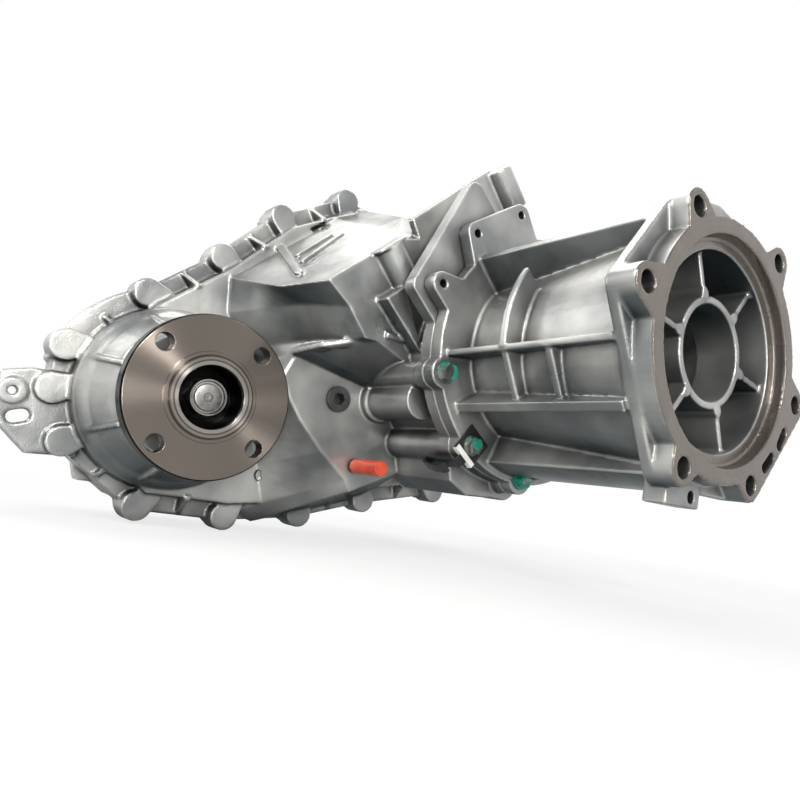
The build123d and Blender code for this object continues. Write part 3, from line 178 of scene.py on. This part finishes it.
def axisRadius(tree, coords, axisPlace):
    shift = tree.nodes.new("ShaderNodeMapping")
    shift.inputs["Location"].default_value = (0.0, -axisPlace[1], -axisPlace[2])
    tree.links.new(coords, shift.inputs["Vector"])
    split = tree.nodes.new("ShaderNodeSeparateXYZ")
    tree.links.new(shift.outputs["Vector"], split.inputs[0])
    ySquare = calculate(tree, "MULTIPLY", split.outputs["Y"], split.outputs["Y"])
    zSquare = calculate(tree, "MULTIPLY", split.outputs["Z"], split.outputs["Z"])
    radius = calculate(tree, "POWER", calculate(tree, "ADD", ySquare, zSquare), 0.5)
    return split.outputs["X"], radius


def castMaterial(name, machinedFace=False):
    material, tree, shader = newMaterial(name)
    coords = objectCoords(tree)
    patch = noise(tree, coords, castLook["patchScale"], 2.5, 0.45)
    grain = noise(tree, coords, castLook["grainScale"], 2.0)
    colour = mixColour(tree, remap(tree, patch, 0.36, 0.64, 0.0, 1.0), castLook["dark"], castLook["light"])
    # Painted shade: ambient occlusion darkens the colour in corners and recesses
    corner = tree.nodes.new("ShaderNodeAmbientOcclusion")
    corner.samples = 4
    corner.inputs["Distance"].default_value = castLook["cornerReach"]
    paintedCornerShade = remap(tree, corner.outputs["AO"], 0.25, 0.88, castLook["cornerShade"], 1.0)
    colour = mixColour(tree, 1.0, colour, paintedCornerShade, "MULTIPLY")
    # Painted shade: faces that look down are darkened with a bluish tint
    point = tree.nodes.new("ShaderNodeNewGeometry")
    facing = tree.nodes.new("ShaderNodeSeparateXYZ")
    tree.links.new(point.outputs["Normal"], facing.inputs[0])
    under = remap(tree, facing.outputs["Z"], *castLook["underFacing"], 1.0, 0.0)
    shadedBelow = mixColour(tree, 1.0, colour, castLook["under"], "MULTIPLY")
    colour = mixColour(tree, under, colour, shadedBelow)
    # Sharp edges are brightened: partly wear, partly a painted highlight
    wearAndHighlight = remap(tree, point.outputs["Pointiness"], *castLook["edgeWearAndHighlight"], 0.0, castLook["edgeWearAndHighlightShare"])
    colour = mixColour(tree, wearAndHighlight, colour, castLook["edge"])
    rough = remap(tree, patch, 0.30, 0.70, *castLook["roughness"])
    if machinedFace:  # the turned and milled faces of the gearbox end
        place, radius = axisRadius(tree, coords, (0.0, 0.0, 0.0))
        onFace = remap(tree, place, *castLook["millDepth"], 0.0, 1.0)
        beforeStep = remap(tree, place, -pilotDepth - 0.3 * mm, -pilotDepth, 0.0, 1.0)
        inSeat = calculate(tree, "MULTIPLY", beforeStep, calculate(tree, "LESS_THAN", radius, pilotRadius))
        cut = calculate(tree, "MAXIMUM", onFace, inSeat)
        line = tree.nodes.new("ShaderNodeCombineXYZ")
        tree.links.new(radius, line.inputs["X"])
        tree.links.new(place, line.inputs["Y"])
        rings = noise(tree, line.outputs[0], castLook["ringScale"], 3.0, 0.7)
        ringShare = remap(tree, rings, 0.35, 0.65, 0.0, 1.0)
        turned = mixColour(tree, ringShare, castLook["machined"], castLook["machinedEdge"])
        stain = noise(tree, coords, castLook["stainScale"], 3.0, 0.5)
        turned = mixColour(tree, remap(tree, stain, 0.3, 0.7, 0.0, 0.5), turned, castLook["machined"])
        colour = mixColour(tree, cut, colour, turned)
        rough = calculate(tree, "SUBTRACT", rough, calculate(tree, "MULTIPLY", cut, 0.1))
    tree.links.new(colour, shader.inputs["Base Color"])
    tree.links.new(rough, shader.inputs["Roughness"])
    shader.inputs["Metallic"].default_value = castLook["metal"]
    wave = noise(tree, coords, castLook["waveScale"], 2.0, 0.5)
    height = calculate(tree, "MULTIPLY", grain, castLook["grainHeight"])
    height = calculate(tree, "ADD", height, calculate(tree, "MULTIPLY", wave, castLook["waveHeight"]))
    addBump(tree, shader, height, 1.0, 0.6)
    return material


# Turned steel of the companion flanges: rings left by the tool, stretched highlights
turnedLook = {
    "base": (0.19, 0.165, 0.145),
    "dark": (0.168, 0.145, 0.127),
    "lip": (0.36, 0.35, 0.33),
    "black": (0.008, 0.008, 0.008),
    "ringScale": 900.0,
    "roughness": 0.25,
    "rimRadius": 59.0 * mm,
    "recessRadius": 23.6 * mm,
    "recessDepth": 1.5 * mm,
    "lipWidth": 2.2 * mm,
    # painted shade and light of a sunken step: dark rings with a lighter ring between them
    "paintedStepShading": (  # inner and outer radius in mm, colour
        (26.4, 27.0, (0.07, 0.06, 0.055)),
        (27.0, 28.9, (0.24, 0.215, 0.195)),
        (28.9, 30.6, (0.085, 0.072, 0.064)),
    ),
    "webDepth": 9.0 * mm,
    "holeReach": 54.0 * mm,
    # painted shade on the walls of the bolt holes
    "hole": (0.06, 0.055, 0.05),
    "stretch": 0.95,
    "ringHeight": 0.000008,
}


def turnedMaterial(name, axisPlace, faceX, side):
    material, tree, shader = newMaterial(name)
    coords = objectCoords(tree)
    place, radius = axisRadius(tree, coords, axisPlace)
    line = tree.nodes.new("ShaderNodeCombineXYZ")
    tree.links.new(radius, line.inputs["X"])
    rings = noise(tree, line.outputs[0], turnedLook["ringScale"], 3.0, 0.7)
    colour = mixColour(tree, remap(tree, rings, 0.3, 0.7, 0.0, 1.0), turnedLook["dark"], turnedLook["base"])
    lip = calculate(tree, "LESS_THAN", radius, turnedLook["recessRadius"] + turnedLook["lipWidth"])
    colour = mixColour(tree, calculate(tree, "MULTIPLY", lip, 0.7), colour, turnedLook["lip"])
    # Painted shade and light of the sunken step, ring by ring
    for inside, outside, tone in turnedLook["paintedStepShading"]:
        ring = calculate(tree, "MULTIPLY", calculate(tree, "GREATER_THAN", radius, inside * mm),
                         calculate(tree, "LESS_THAN", radius, outside * mm))
        colour = mixColour(tree, ring, colour, tone)
    depth = calculate(tree, "MULTIPLY", calculate(tree, "SUBTRACT", faceX, place), side)
    deep = calculate(tree, "GREATER_THAN", depth, turnedLook["recessDepth"])
    inRecess = calculate(tree, "LESS_THAN", radius, turnedLook["recessRadius"])
    recess = calculate(tree, "MULTIPLY", deep, inRecess)
    rim = calculate(tree, "GREATER_THAN", radius, turnedLook["rimRadius"])
    # Painted shade: the walls of the bolt holes are darkened
    inWeb = calculate(tree, "MULTIPLY", deep, calculate(tree, "LESS_THAN", depth, turnedLook["webDepth"]))
    hole = calculate(tree, "MULTIPLY", inWeb, calculate(tree, "LESS_THAN", radius, turnedLook["holeReach"]))
    colour = mixColour(tree, hole, colour, turnedLook["hole"])
    dark = calculate(tree, "MAXIMUM", recess, rim)
    colour = mixColour(tree, dark, colour, turnedLook["black"])
    tree.links.new(colour, shader.inputs["Base Color"])
    shader.inputs["Metallic"].default_value = 1.0
    shader.inputs["Roughness"].default_value = turnedLook["roughness"]
    shader.inputs["Anisotropic"].default_value = turnedLook["stretch"]
    shader.inputs["Anisotropic Rotation"].default_value = 0.25  # stretched across the rings
    tangent = tree.nodes.new("ShaderNodeTangent")
    tangent.direction_type = "RADIAL"
    tangent.axis = "X"
    tree.links.new(tangent.outputs[0], shader.inputs["Tangent"])
    addBump(tree, shader, rings, turnedLook["ringHeight"], 0.5)
    return material


# Plain metals and painted or moulded surfaces
# painted shade: the black that parts deep in a recess take
paintedRecessShade = (0.012, 0.012, 0.012)


def plainMetal(name, light, dark, roughness, grainSize=400.0, grainHeight=0.00004, shadedFrom=None):
    material, tree, shader = newMaterial(name)
    coords = objectCoords(tree)
    patch = noise(tree, coords, 60.0, 4.0)
    grain = noise(tree, coords, grainSize, 2.0)
    colour = mixColour(tree, remap(tree, patch, 0.35, 0.65, 0.0, 1.0), dark, light)
    if shadedFrom is not None:  # painted shade: black behind this place along X, deep inside a recess
        split = tree.nodes.new("ShaderNodeSeparateXYZ")
        tree.links.new(coords, split.inputs[0])
        lit = remap(tree, split.outputs["X"], shadedFrom - 1.0 * mm, shadedFrom, 0.0, 1.0)
        colour = mixColour(tree, lit, paintedRecessShade, colour)
    tree.links.new(colour, shader.inputs["Base Color"])
    rough = remap(tree, grain, 0.3, 0.7, roughness - 0.05, roughness + 0.08)
    tree.links.new(rough, shader.inputs["Roughness"])
    shader.inputs["Metallic"].default_value = 1.0
    addBump(tree, shader, grain, grainHeight, 0.5)
    return material


def plainSurface(name, light, dark, roughness, grainSize=500.0):
    material, tree, shader = newMaterial(name)
    coords = objectCoords(tree)
    patch = noise(tree, coords, 80.0, 3.0)
    grain = noise(tree, coords, grainSize, 2.0)
    colour = mixColour(tree, remap(tree, patch, 0.35, 0.65, 0.0, 1.0), dark, light)
    tree.links.new(colour, shader.inputs["Base Color"])
    rough = remap(tree, grain, 0.3, 0.7, roughness - 0.06, roughness + 0.06)
    tree.links.new(rough, shader.inputs["Roughness"])
    addBump(tree, shader, grain, 0.00005, 0.4)
    return material


# Bolts: zinc with smears of green marking paint on their heads
boltLook = {
    "zinc": (0.42, 0.42, 0.41),
    "dull": (0.14, 0.15, 0.15),
    "roughness": 0.32,
    "paint": (0.005, 0.25, 0.17),
    "paintScale": 62.0,
    "paintEdge": (0.47, 0.51),
}


def boltMaterial(name, painted):
    material, tree, shader = newMaterial(name)
    coords = objectCoords(tree)
    patch = noise(tree, coords, 90.0, 4.0)
    colour = mixColour(tree, remap(tree, patch, 0.35, 0.65, 0.0, 1.0), boltLook["dull"], boltLook["zinc"])
    if painted:
        brush = noise(tree, coords, boltLook["paintScale"], 2.5)
        smear = remap(tree, brush, *boltLook["paintEdge"], 0.0, 1.0)
        colour = mixColour(tree, smear, colour, boltLook["paint"])
        tree.links.new(calculate(tree, "SUBTRACT", 1.0, smear), shader.inputs["Metallic"])
    else:
        shader.inputs["Metallic"].default_value = 1.0
    tree.links.new(colour, shader.inputs["Base Color"])
    shader.inputs["Roughness"].default_value = boltLook["roughness"]
    return material


castFace = castMaterial("adapterCasting", True)
castCase = castMaterial("caseCasting")
turnedFront = turnedMaterial("turnedFrontFlange", frontAxis, frontFaceX, 1)
turnedRear = turnedMaterial("turnedRearFlange", Vector((0, 0, 0)), rearFaceX, -1)
steel = plainMetal("groundSteel", (0.55, 0.54, 0.52), (0.38, 0.37, 0.36), 0.30)
bearingSteel = plainMetal("bearingSteel", (0.68, 0.68, 0.68), (0.55, 0.55, 0.56), 0.18)
forkMetal = plainMetal("forkCasting", (0.6, 0.6, 0.6), (0.42, 0.42, 0.43), 0.42, 600.0, 0.0002)
zinc = boltMaterial("zincBolt", False)
zincPainted = boltMaterial("zincBoltPainted", True)
rubber = plainSurface("sealRubber", (0.03, 0.03, 0.03), (0.015, 0.015, 0.015), 0.55)
blackPlug = plainSurface("blackPlug", (0.045, 0.045, 0.05), (0.02, 0.02, 0.022), 0.42)
clipBlack = plainSurface("clipBlack", (0.018, 0.018, 0.02), (0.009, 0.009, 0.01), 0.38)
nutSteel = plainMetal("nutSteel", (0.36, 0.35, 0.33), (0.17, 0.165, 0.16), 0.30,
                      shadedFrom=frontFaceX - 7.0 * mm)
whiteBand = plainSurface("whiteBand", (0.78, 0.78, 0.76), (0.66, 0.66, 0.64), 0.5)
orangeCap = plainSurface("orangeCap", (0.78, 0.10, 0.04), (0.52, 0.06, 0.03), 0.34)
print("materials made")

# What each CAD node wears until a piece of this script takes its place
slotMaterials = {
    "cast_aluminium": castCase,
    "turned_steel": turnedFront,
    "machined_steel": steel,
    "bearing_steel": bearingSteel,
    "seal_rubber": rubber,
    "fork_aluminium": forkMetal,
    "zinc_bolt": zinc,
    "black_plug": blackPlug,
    "orange_cap": orangeCap,
}
slotOf = {entry["node"]: entry["material_slot"] for entry in frame["record"]["subparts"]}


def dress(obj, material):
    obj.data.materials.clear()
    obj.data.materials.append(material)


for nodeName, obj in cadNodes.items():
    dress(obj, slotMaterials[slotOf[nodeName]])
dress(cadNodes["rear_flange"], turnedRear)
dress(cadNodes["front_output_shaft"], nutSteel)


# Castings: a copy of the solid, grown into one skin with rounded inner corners
castings = {
    "adapter_housing": {"name": "adapterSkin", "body": "case",
        "voxel": 1.15 * mm, "smooth": 4, "material": castFace},
    "front_case": {"name": "frontCaseSkin", "body": "case",
        "voxel": 1.15 * mm, "smooth": 4, "material": castCase},
    "rear_case": {"name": "rearCaseSkin", "body": "case",
        "voxel": 1.8 * mm, "smooth": 3, "material": castCase},
    "rear_extension": {"name": "extensionSkin", "body": "case",
        "voxel": 1.6 * mm, "smooth": 3, "material": castCase},
}
mostTriangles = 190000


def weldedCopy(nodeName, newName):
    mesh = cadNodes[nodeName].data.copy()
    mesh.name = newName
    shape = bmesh.new()
    shape.from_mesh(mesh)
    bmesh.ops.remove_doubles(shape, verts=shape.verts[:], dist=0.01 * mm)
    shape.to_mesh(mesh)
    shape.free()
    obj = bpy.data.objects.new(newName, mesh)
    bpy.context.scene.collection.objects.link(obj)
    return obj


def applyModifiers(obj):
    graph = bpy.context.evaluated_depsgraph_get()
    mesh = bpy.data.meshes.new_from_object(obj.evaluated_get(graph))
    old = obj.data
    obj.modifiers.clear()
    obj.data = mesh
    bpy.data.meshes.remove(old)


def castSkin(nodeName, values):
    obj = weldedCopy(nodeName, values["name"])
    remesh = obj.modifiers.new("grow", "REMESH")
    remesh.mode = "VOXEL"
    remesh.voxel_size = values["voxel"] * 1.0
    remesh.use_smooth_shade = True
    soften = obj.modifiers.new("soften", "SMOOTH")
    soften.factor = 0.5
    soften.iterations = values["smooth"]
    applyModifiers(obj)
    triangles = 2 * len(obj.data.polygons)
    print("casting", nodeName, "skin of", triangles, "triangles")
    if triangles > mostTriangles:
        thin = obj.modifiers.new("thin", "DECIMATE")
        thin.ratio = mostTriangles / triangles
        applyModifiers(obj)
    for polygon in obj.data.polygons:
        polygon.use_smooth = True
    weigh = obj.modifiers.new("weigh", "WEIGHTED_NORMAL")
    weigh.mode = "FACE_AREA"
    weigh.weight = 70
    applyModifiers(obj)
    dress(obj, values["material"])
    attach(obj, values["body"])
    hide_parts(nodeName)
    print("casting", nodeName, len(obj.data.polygons), "faces from", triangles)
    return obj


for nodeName, values in castings.items():
    castSkin(nodeName, values)


# Turned and small pieces keep crisp edges with a narrow bevel
crispPieces = {
    "front_flange": {"name": "frontFlangeTurned", "body": "front_output", "slot": "turned_steel",
        "bevel": 0.5 * mm, "material": turnedFront},
    "rear_flange": {"name": "rearFlangeTurned", "body": "main", "slot": "turned_steel",
        "bevel": 0.5 * mm, "material": turnedRear},
    "rear_flange_nut": {"name": "rearNutForged", "body": "main", "slot": "machined_steel",
        "bevel": 0.5 * mm, "material": zinc},
    "adapter_bolts": {"name": "adapterBoltsPainted", "body": "case", "slot": "zinc_bolt",
        "bevel": 0.4 * mm, "material": zincPainted},
    "case_bolts": {"name": "caseBoltsPlated", "body": "case", "slot": "zinc_bolt",
        "bevel": 0.4 * mm, "material": zinc},
    "filler_plug": {"name": "fillerPlugBlack", "body": "case", "slot": "black_plug",
        "bevel": 0.4 * mm, "material": blackPlug},
    "blanking_plug": {"name": "blankingPlugSlotted", "body": "case", "slot": "black_plug",
        "bevel": 0.2 * mm, "material": steel},
    "breather_cap": {"name": "breatherCapOrange", "body": "case", "slot": "orange_cap",
        "bevel": 1.6 * mm, "material": orangeCap},
}


def markSharp(shape, degrees):
    for face in shape.faces:
        face.smooth = True
    for edge in shape.edges:
        if len(edge.link_faces) == 2 and edge.calc_face_angle(0) > math.radians(degrees):
            edge.smooth = False


def crispCopy(nodeName, values):
    obj = weldedCopy(nodeName, values["name"])
    shape = bmesh.new()
    shape.from_mesh(obj.data)
    bmesh.ops.dissolve_limit(shape, angle_limit=math.radians(1.0), verts=shape.verts[:],
                             edges=shape.edges[:])
    inner = [edge for edge in shape.edges if len(edge.link_faces) == 2]
    sharp = [edge for edge in inner if edge.calc_face_angle(0) > math.radians(35)]
    bmesh.ops.bevel(shape, geom=sharp, offset=values["bevel"], affect="EDGES", segments=2,
                    profile=0.5, material=-1, offset_type="OFFSET", clamp_overlap=True)
    markSharp(shape, 28)
    shape.to_mesh(obj.data)
    shape.free()
    flat = obj.modifiers.new("flatFaces", "WEIGHTED_NORMAL")
    flat.mode = "FACE_AREA"
    flat.weight = 100
    flat.keep_sharp = True
    applyModifiers(obj)
    dress(obj, values["material"])
    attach(obj, values["body"])
    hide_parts(nodeName)
    return obj


for nodeName, values in crispPieces.items():
    crispCopy(nodeName, values)
print("crisp pieces made")


def addPiece(shape, name, material, body, bevel=0.0):
    bmesh.ops.remove_doubles(shape, verts=shape.verts[:], dist=0.01 * mm)
    bmesh.ops.recalc_face_normals(shape, faces=shape.faces[:])
    markSharp(shape, 32)
    mesh = bpy.data.meshes.new(name)
    shape.to_mesh(mesh)
    shape.free()
    obj = bpy.data.objects.new(name, mesh)
    bpy.context.scene.collection.objects.link(obj)
    if bevel:
        rounding = obj.modifiers.new("rounding", "BEVEL")
        rounding.width = bevel
        rounding.segments = 2
        rounding.limit_method = "ANGLE"
        rounding.angle_limit = math.radians(32)
        applyModifiers(obj)
    dress(obj, material)
    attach(obj, body)
    return obj


# Front nut: a hexagon under a round staked collar, and the end of the shaft inside it
nutShape = {
    "hexRadius": 12.5 * mm,
    "hexDepth": (26.0 * mm, 20.0 * mm),
    "turnedProfile": (  # depth behind the flange face and radius, in mm
        (18.0, 0.0), (18.0, 11.5), (8.6, 11.5), (7.0, 14.0), (6.2, 14.0), (5.0, 13.2), (5.0, 12.2),
        (6.6, 11.4), (6.6, 10.2), (5.6, 9.6), (5.2, 8.6), (5.2, 3.4), (6.4, 2.6), (6.4, 1.6), (7.6, 0.0),
    ),
    "steps": 72,
}


def makeFrontNut():
    shape = bmesh.new()
    points = []
    for depth, radius in nutShape["turnedProfile"]:
        place = (frontFaceX - depth * mm, frontAxis.y, frontAxis.z + radius * mm)
        points.append(shape.verts.new(place))
    edges = [shape.edges.new(pair) for pair in zip(points, points[1:])]
    bmesh.ops.spin(shape, geom=points + edges, cent=(0, frontAxis.y, frontAxis.z), axis=(1, 0, 0),
                   angle=math.radians(360), steps=nutShape["steps"], use_merge=True)
    low, high = nutShape["hexDepth"]
    base = bmesh.ops.create_cone(shape, cap_ends=True, segments=6, radius1=nutShape["hexRadius"],
                                 radius2=nutShape["hexRadius"], depth=low - high)
    turn = Matrix.Rotation(math.radians(90), 3, "Y")
    bmesh.ops.rotate(shape, verts=base["verts"], cent=(0, 0, 0), matrix=turn)
    middle = Vector((frontFaceX - (low + high) / 2, frontAxis.y, frontAxis.z))
    bmesh.ops.translate(shape, verts=base["verts"], vec=middle)
    nut = addPiece(shape, "frontNutStaked", nutSteel, "front_output")
    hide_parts("front_flange_nut")


# Harness clip: a square plate round one joint bolt, a bent hook that runs back, a white band
clipShape = {
    "boltPlace": (-59.7 * mm, -82.1 * mm),
    "angle": -126.0,
    "seat": jointX + 13.0 * mm,
    "plateSize": 25.0 * mm,
    "thickness": 1.5 * mm,
    "hole": 8.9 * mm,
    "hookWidth": 9.0 * mm,
    "hookThickness": 1.3 * mm,
    "hook": (  # along the bolt and away from it, in mm
        (1.0, 11.5), (1.0, 16.5), (-2.0, 19.0), (-14.0, 19.5), (-30.0, 18.5), (-38.0, 18.0),
        (-41.5, 20.5), (-37.0, 24.5), (-24.0, 27.0), (-12.0, 27.5), (-8.0, 25.0),
    ),
    "band": ((3.0, 9.2), (3.0, 13.6), (-1.6, 13.8)),
    "bandWidth": 23.0 * mm,
    "bandThickness": 0.6 * mm,
}


def clipPoint(along, outward, across):
    angle = math.radians(clipShape["angle"])
    y = clipShape["boltPlace"][0] + outward * math.cos(angle) - across * math.sin(angle)
    z = clipShape["boltPlace"][1] + outward * math.sin(angle) + across * math.cos(angle)
    return Vector((clipShape["seat"] + along, y, z))


def addRibbon(shape, path, width, thickness):
    verts = [shape.verts.new(clipPoint(along * mm, outward * mm, -width / 2)) for along, outward in path]
    edges = [shape.edges.new(pair) for pair in zip(verts, verts[1:])]
    wide = bmesh.ops.extrude_edge_only(shape, edges=edges)
    moved = [item for item in wide["geom"] if isinstance(item, bmesh.types.BMVert)]
    across = clipPoint(0, 0, width) - clipPoint(0, 0, 0)
    bmesh.ops.translate(shape, verts=moved, vec=across)
    faces = [item for item in wide["geom"] if isinstance(item, bmesh.types.BMFace)]
    bmesh.ops.recalc_face_normals(shape, faces=faces)
    bmesh.ops.solidify(shape, geom=faces, thickness=thickness)


def makeClip():
    shape = bmesh.new()
    outer = bmesh.ops.create_circle(shape, segments=4, radius=clipShape["plateSize"] * math.sqrt(0.5))
    turn = Matrix.Rotation(math.radians(45), 3, "Z")
    bmesh.ops.rotate(shape, verts=outer["verts"], cent=(0, 0, 0), matrix=turn)
    bmesh.ops.subdivide_edges(shape, edges=shape.edges[:], cuts=7)
    bmesh.ops.create_circle(shape, segments=32, radius=clipShape["hole"])
    bmesh.ops.bridge_loops(shape, edges=shape.edges[:])
    for vert in shape.verts:
        vert.co = clipPoint(0.0, vert.co.x, vert.co.y)
    bmesh.ops.recalc_face_normals(shape, faces=shape.faces[:])
    bmesh.ops.solidify(shape, geom=shape.faces[:], thickness=clipShape["thickness"])
    addRibbon(shape, clipShape["hook"], clipShape["hookWidth"], clipShape["hookThickness"])
    clip = addPiece(shape, "clipBlackPlate", clipBlack, "case", 0.25 * mm)
    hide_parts("harness_clip")
    shape = bmesh.new()
    addRibbon(shape, clipShape["band"], clipShape["bandWidth"], clipShape["bandThickness"])
    addPiece(shape, "clipWhiteBand", whiteBand, "case", 0.1 * mm)


makeFrontNut()
makeClip()
print("nut and clip made")


# Studio: pale floor, white surroundings, a grey ceiling and soft lamps
studio = {
    "floorGap": 1.0 * mm,
    "floorSize": 6.0,
    "floorPaint": (0.80, 0.80, 0.80),
    "shadowShare": 0.22,
    "shadowReach": 0.35,
    "mirrorShare": 0.10,
    "fillColour": (0.72, 0.88, 0.95),
    "fillStrength": 0.24,
    "ceilingGrey": 0.30,
    "ceilingHeight": (0.70, 0.90),  # where white turns to grey, as the height of a direction
}


def seenRay(tree, path, name, share):
    return calculate(tree, "MULTIPLY", path.outputs[name], share)


def whiteShare(tree, cameraShare, glossyShare):
    path = tree.nodes.new("ShaderNodeLightPath")
    camera = seenRay(tree, path, "Is Camera Ray", cameraShare)
    glossy = seenRay(tree, path, "Is Glossy Ray", glossyShare)
    through = seenRay(tree, path, "Is Transmission Ray", cameraShare)
    return calculate(tree, "MAXIMUM", camera, calculate(tree, "MAXIMUM", glossy, through))


def makeFloor():
    shape = bmesh.new()
    bmesh.ops.create_grid(shape, x_segments=1, y_segments=1, size=studio["floorSize"] / 2)
    bmesh.ops.translate(shape, verts=shape.verts[:], vec=(cadLow.x / 2, 0, cadLow.z - studio["floorGap"]))
    mesh = bpy.data.meshes.new("studioFloor")
    shape.to_mesh(mesh)
    shape.free()
    floor = bpy.data.objects.new("studioFloor", mesh)
    bpy.context.scene.collection.objects.link(floor)
    material, tree, shader = newMaterial("floorPaint")
    shader.inputs["Base Color"].default_value = (*studio["floorPaint"], 1)
    shader.inputs["Roughness"].default_value = 0.9
    glow = tree.nodes.new("ShaderNodeEmission")
    glow.inputs["Strength"].default_value = 1.0
    blend = tree.nodes.new("ShaderNodeMixShader")
    split = tree.nodes.new("ShaderNodeSeparateXYZ")
    tree.links.new(objectCoords(tree), split.inputs[0])
    fromMiddle = calculate(tree, "SUBTRACT", split.outputs["X"], cadLow.x / 2)
    square = calculate(tree, "ADD", calculate(tree, "MULTIPLY", fromMiddle, fromMiddle),
                       calculate(tree, "MULTIPLY", split.outputs["Y"], split.outputs["Y"]))
    full = studio["shadowReach"] ** 2
    gone = (2 * studio["shadowReach"]) ** 2
    near = remap(tree, square, full, gone, studio["shadowShare"], 0.0)  # the shadow fades with distance
    white = whiteShare(tree, calculate(tree, "SUBTRACT", 1.0, near), studio["mirrorShare"])
    tree.links.new(white, blend.inputs[0])
    tree.links.new(shader.outputs[0], blend.inputs[1])
    tree.links.new(glow.outputs[0], blend.inputs[2])
    output = next(node for node in tree.nodes if node.type == "OUTPUT_MATERIAL")
    tree.links.new(blend.outputs[0], output.inputs["Surface"])
    mesh.materials.append(material)


def makeWorld():
    world = bpy.data.worlds.new("studioWorld")
    world.use_nodes = True
    bpy.context.scene.world = world
    tree = world.node_tree
    tree.nodes.clear()
    output = tree.nodes.new("ShaderNodeOutputWorld")
    lightSide = tree.nodes.new("ShaderNodeBackground")
    lightSide.inputs["Color"].default_value = (*studio["fillColour"], 1)
    lightSide.inputs["Strength"].default_value = studio["fillStrength"]
    whiteSide = tree.nodes.new("ShaderNodeBackground")
    whiteSide.inputs["Strength"].default_value = 1.0
    direction = tree.nodes.new("ShaderNodeTexCoord")
    split = tree.nodes.new("ShaderNodeSeparateXYZ")
    tree.links.new(direction.outputs["Generated"], split.inputs[0])
    ceiling = remap(tree, split.outputs["Z"], *studio["ceilingHeight"], 0.0, 1.0)
    grey = (studio["ceilingGrey"],) * 3
    tree.links.new(mixColour(tree, ceiling, (1.0, 1.0, 1.0), grey), whiteSide.inputs["Color"])
    blend = tree.nodes.new("ShaderNodeMixShader")
    tree.links.new(whiteShare(tree, 1.0, 1.0), blend.inputs[0])
    tree.links.new(lightSide.outputs[0], blend.inputs[1])
    tree.links.new(whiteSide.outputs[0], blend.inputs[2])
    tree.links.new(blend.outputs[0], output.inputs["Surface"])


# Two small lamps in front draw the bright fans on the flange, the others are wide and soft
lamps = {
    "overheadLamp": {"place": (-0.42, 0.05, 0.95), "target": (-0.27, -0.02, 0.0),
                     "size": (1.2, 0.7), "watts": 11.0},
    "keyLamp": {"place": (0.84, -0.40, 0.38), "target": (-0.22, -0.15, 0.0),
                "size": (0.13, 0.13), "watts": 6.0},
    "windowLamp": {"place": (0.98, -0.65, -0.07), "target": (-0.25, -0.15, -0.03),
                   "size": (0.12, 0.30), "watts": 5.5},
    "sideLamp": {"place": (-0.05, -1.10, 0.60), "target": (-0.20, -0.10, 0.0),
                 "size": (0.6, 0.3), "watts": 7.5},
    "leftLamp": {"place": (-1.1, -0.85, 0.40), "target": (-0.3, -0.1, 0.0),
                 "size": (0.30, 0.6), "watts": 2.5},
}
lampColour = (1.0, 0.97, 0.93)


def makeLamps():
    for name, values in lamps.items():
        light = bpy.data.lights.new(name, "AREA")
        light.shape = "RECTANGLE"
        light.size = values["size"][0]
        light.size_y = values["size"][1]
        light.energy = values["watts"]
        light.color = lampColour
        lamp = bpy.data.objects.new(name, light)
        bpy.context.scene.collection.objects.link(lamp)
        lamp.location = values["place"]
        aim = Vector(values["target"]) - Vector(values["place"])
        lamp.rotation_euler = aim.to_track_quat("-Z", "Y").to_euler()
        lamp.visible_camera = False


# Camera: the photograph's viewpoint, from its perspective
cameraView = {
    "place": (0.24461, -0.42813, -0.12851),
    "right": (0.66108, 0.73581, 0.14683),
    "up": (0.01415, -0.20789, 0.97805),
    "lens": 31.5,
    "sensor": 36.0,
    "shiftX": -0.1,
}


def makeCamera():
    data = bpy.data.cameras.new("photoCamera")
    data.lens = cameraView["lens"]
    data.sensor_width = cameraView["sensor"]
    data.sensor_fit = "HORIZONTAL"
    data.shift_x = cameraView["shiftX"]
    data.clip_start = 0.01
    camera = bpy.data.objects.new("photoCamera", data)
    bpy.context.scene.collection.objects.link(camera)
    right = Vector(cameraView["right"]).normalized()
    up = Vector(cameraView["up"]).normalized()
    back = right.cross(up).normalized()
    turn = Matrix((right, back.cross(right), back)).transposed().to_4x4()
    camera.matrix_world = Matrix.Translation(cameraView["place"]) @ turn
    bpy.context.scene.camera = camera


makeFloor()
makeWorld()
makeLamps()
makeCamera()
bpy.context.scene.view_settings.view_transform = "Standard"
print("studio made")
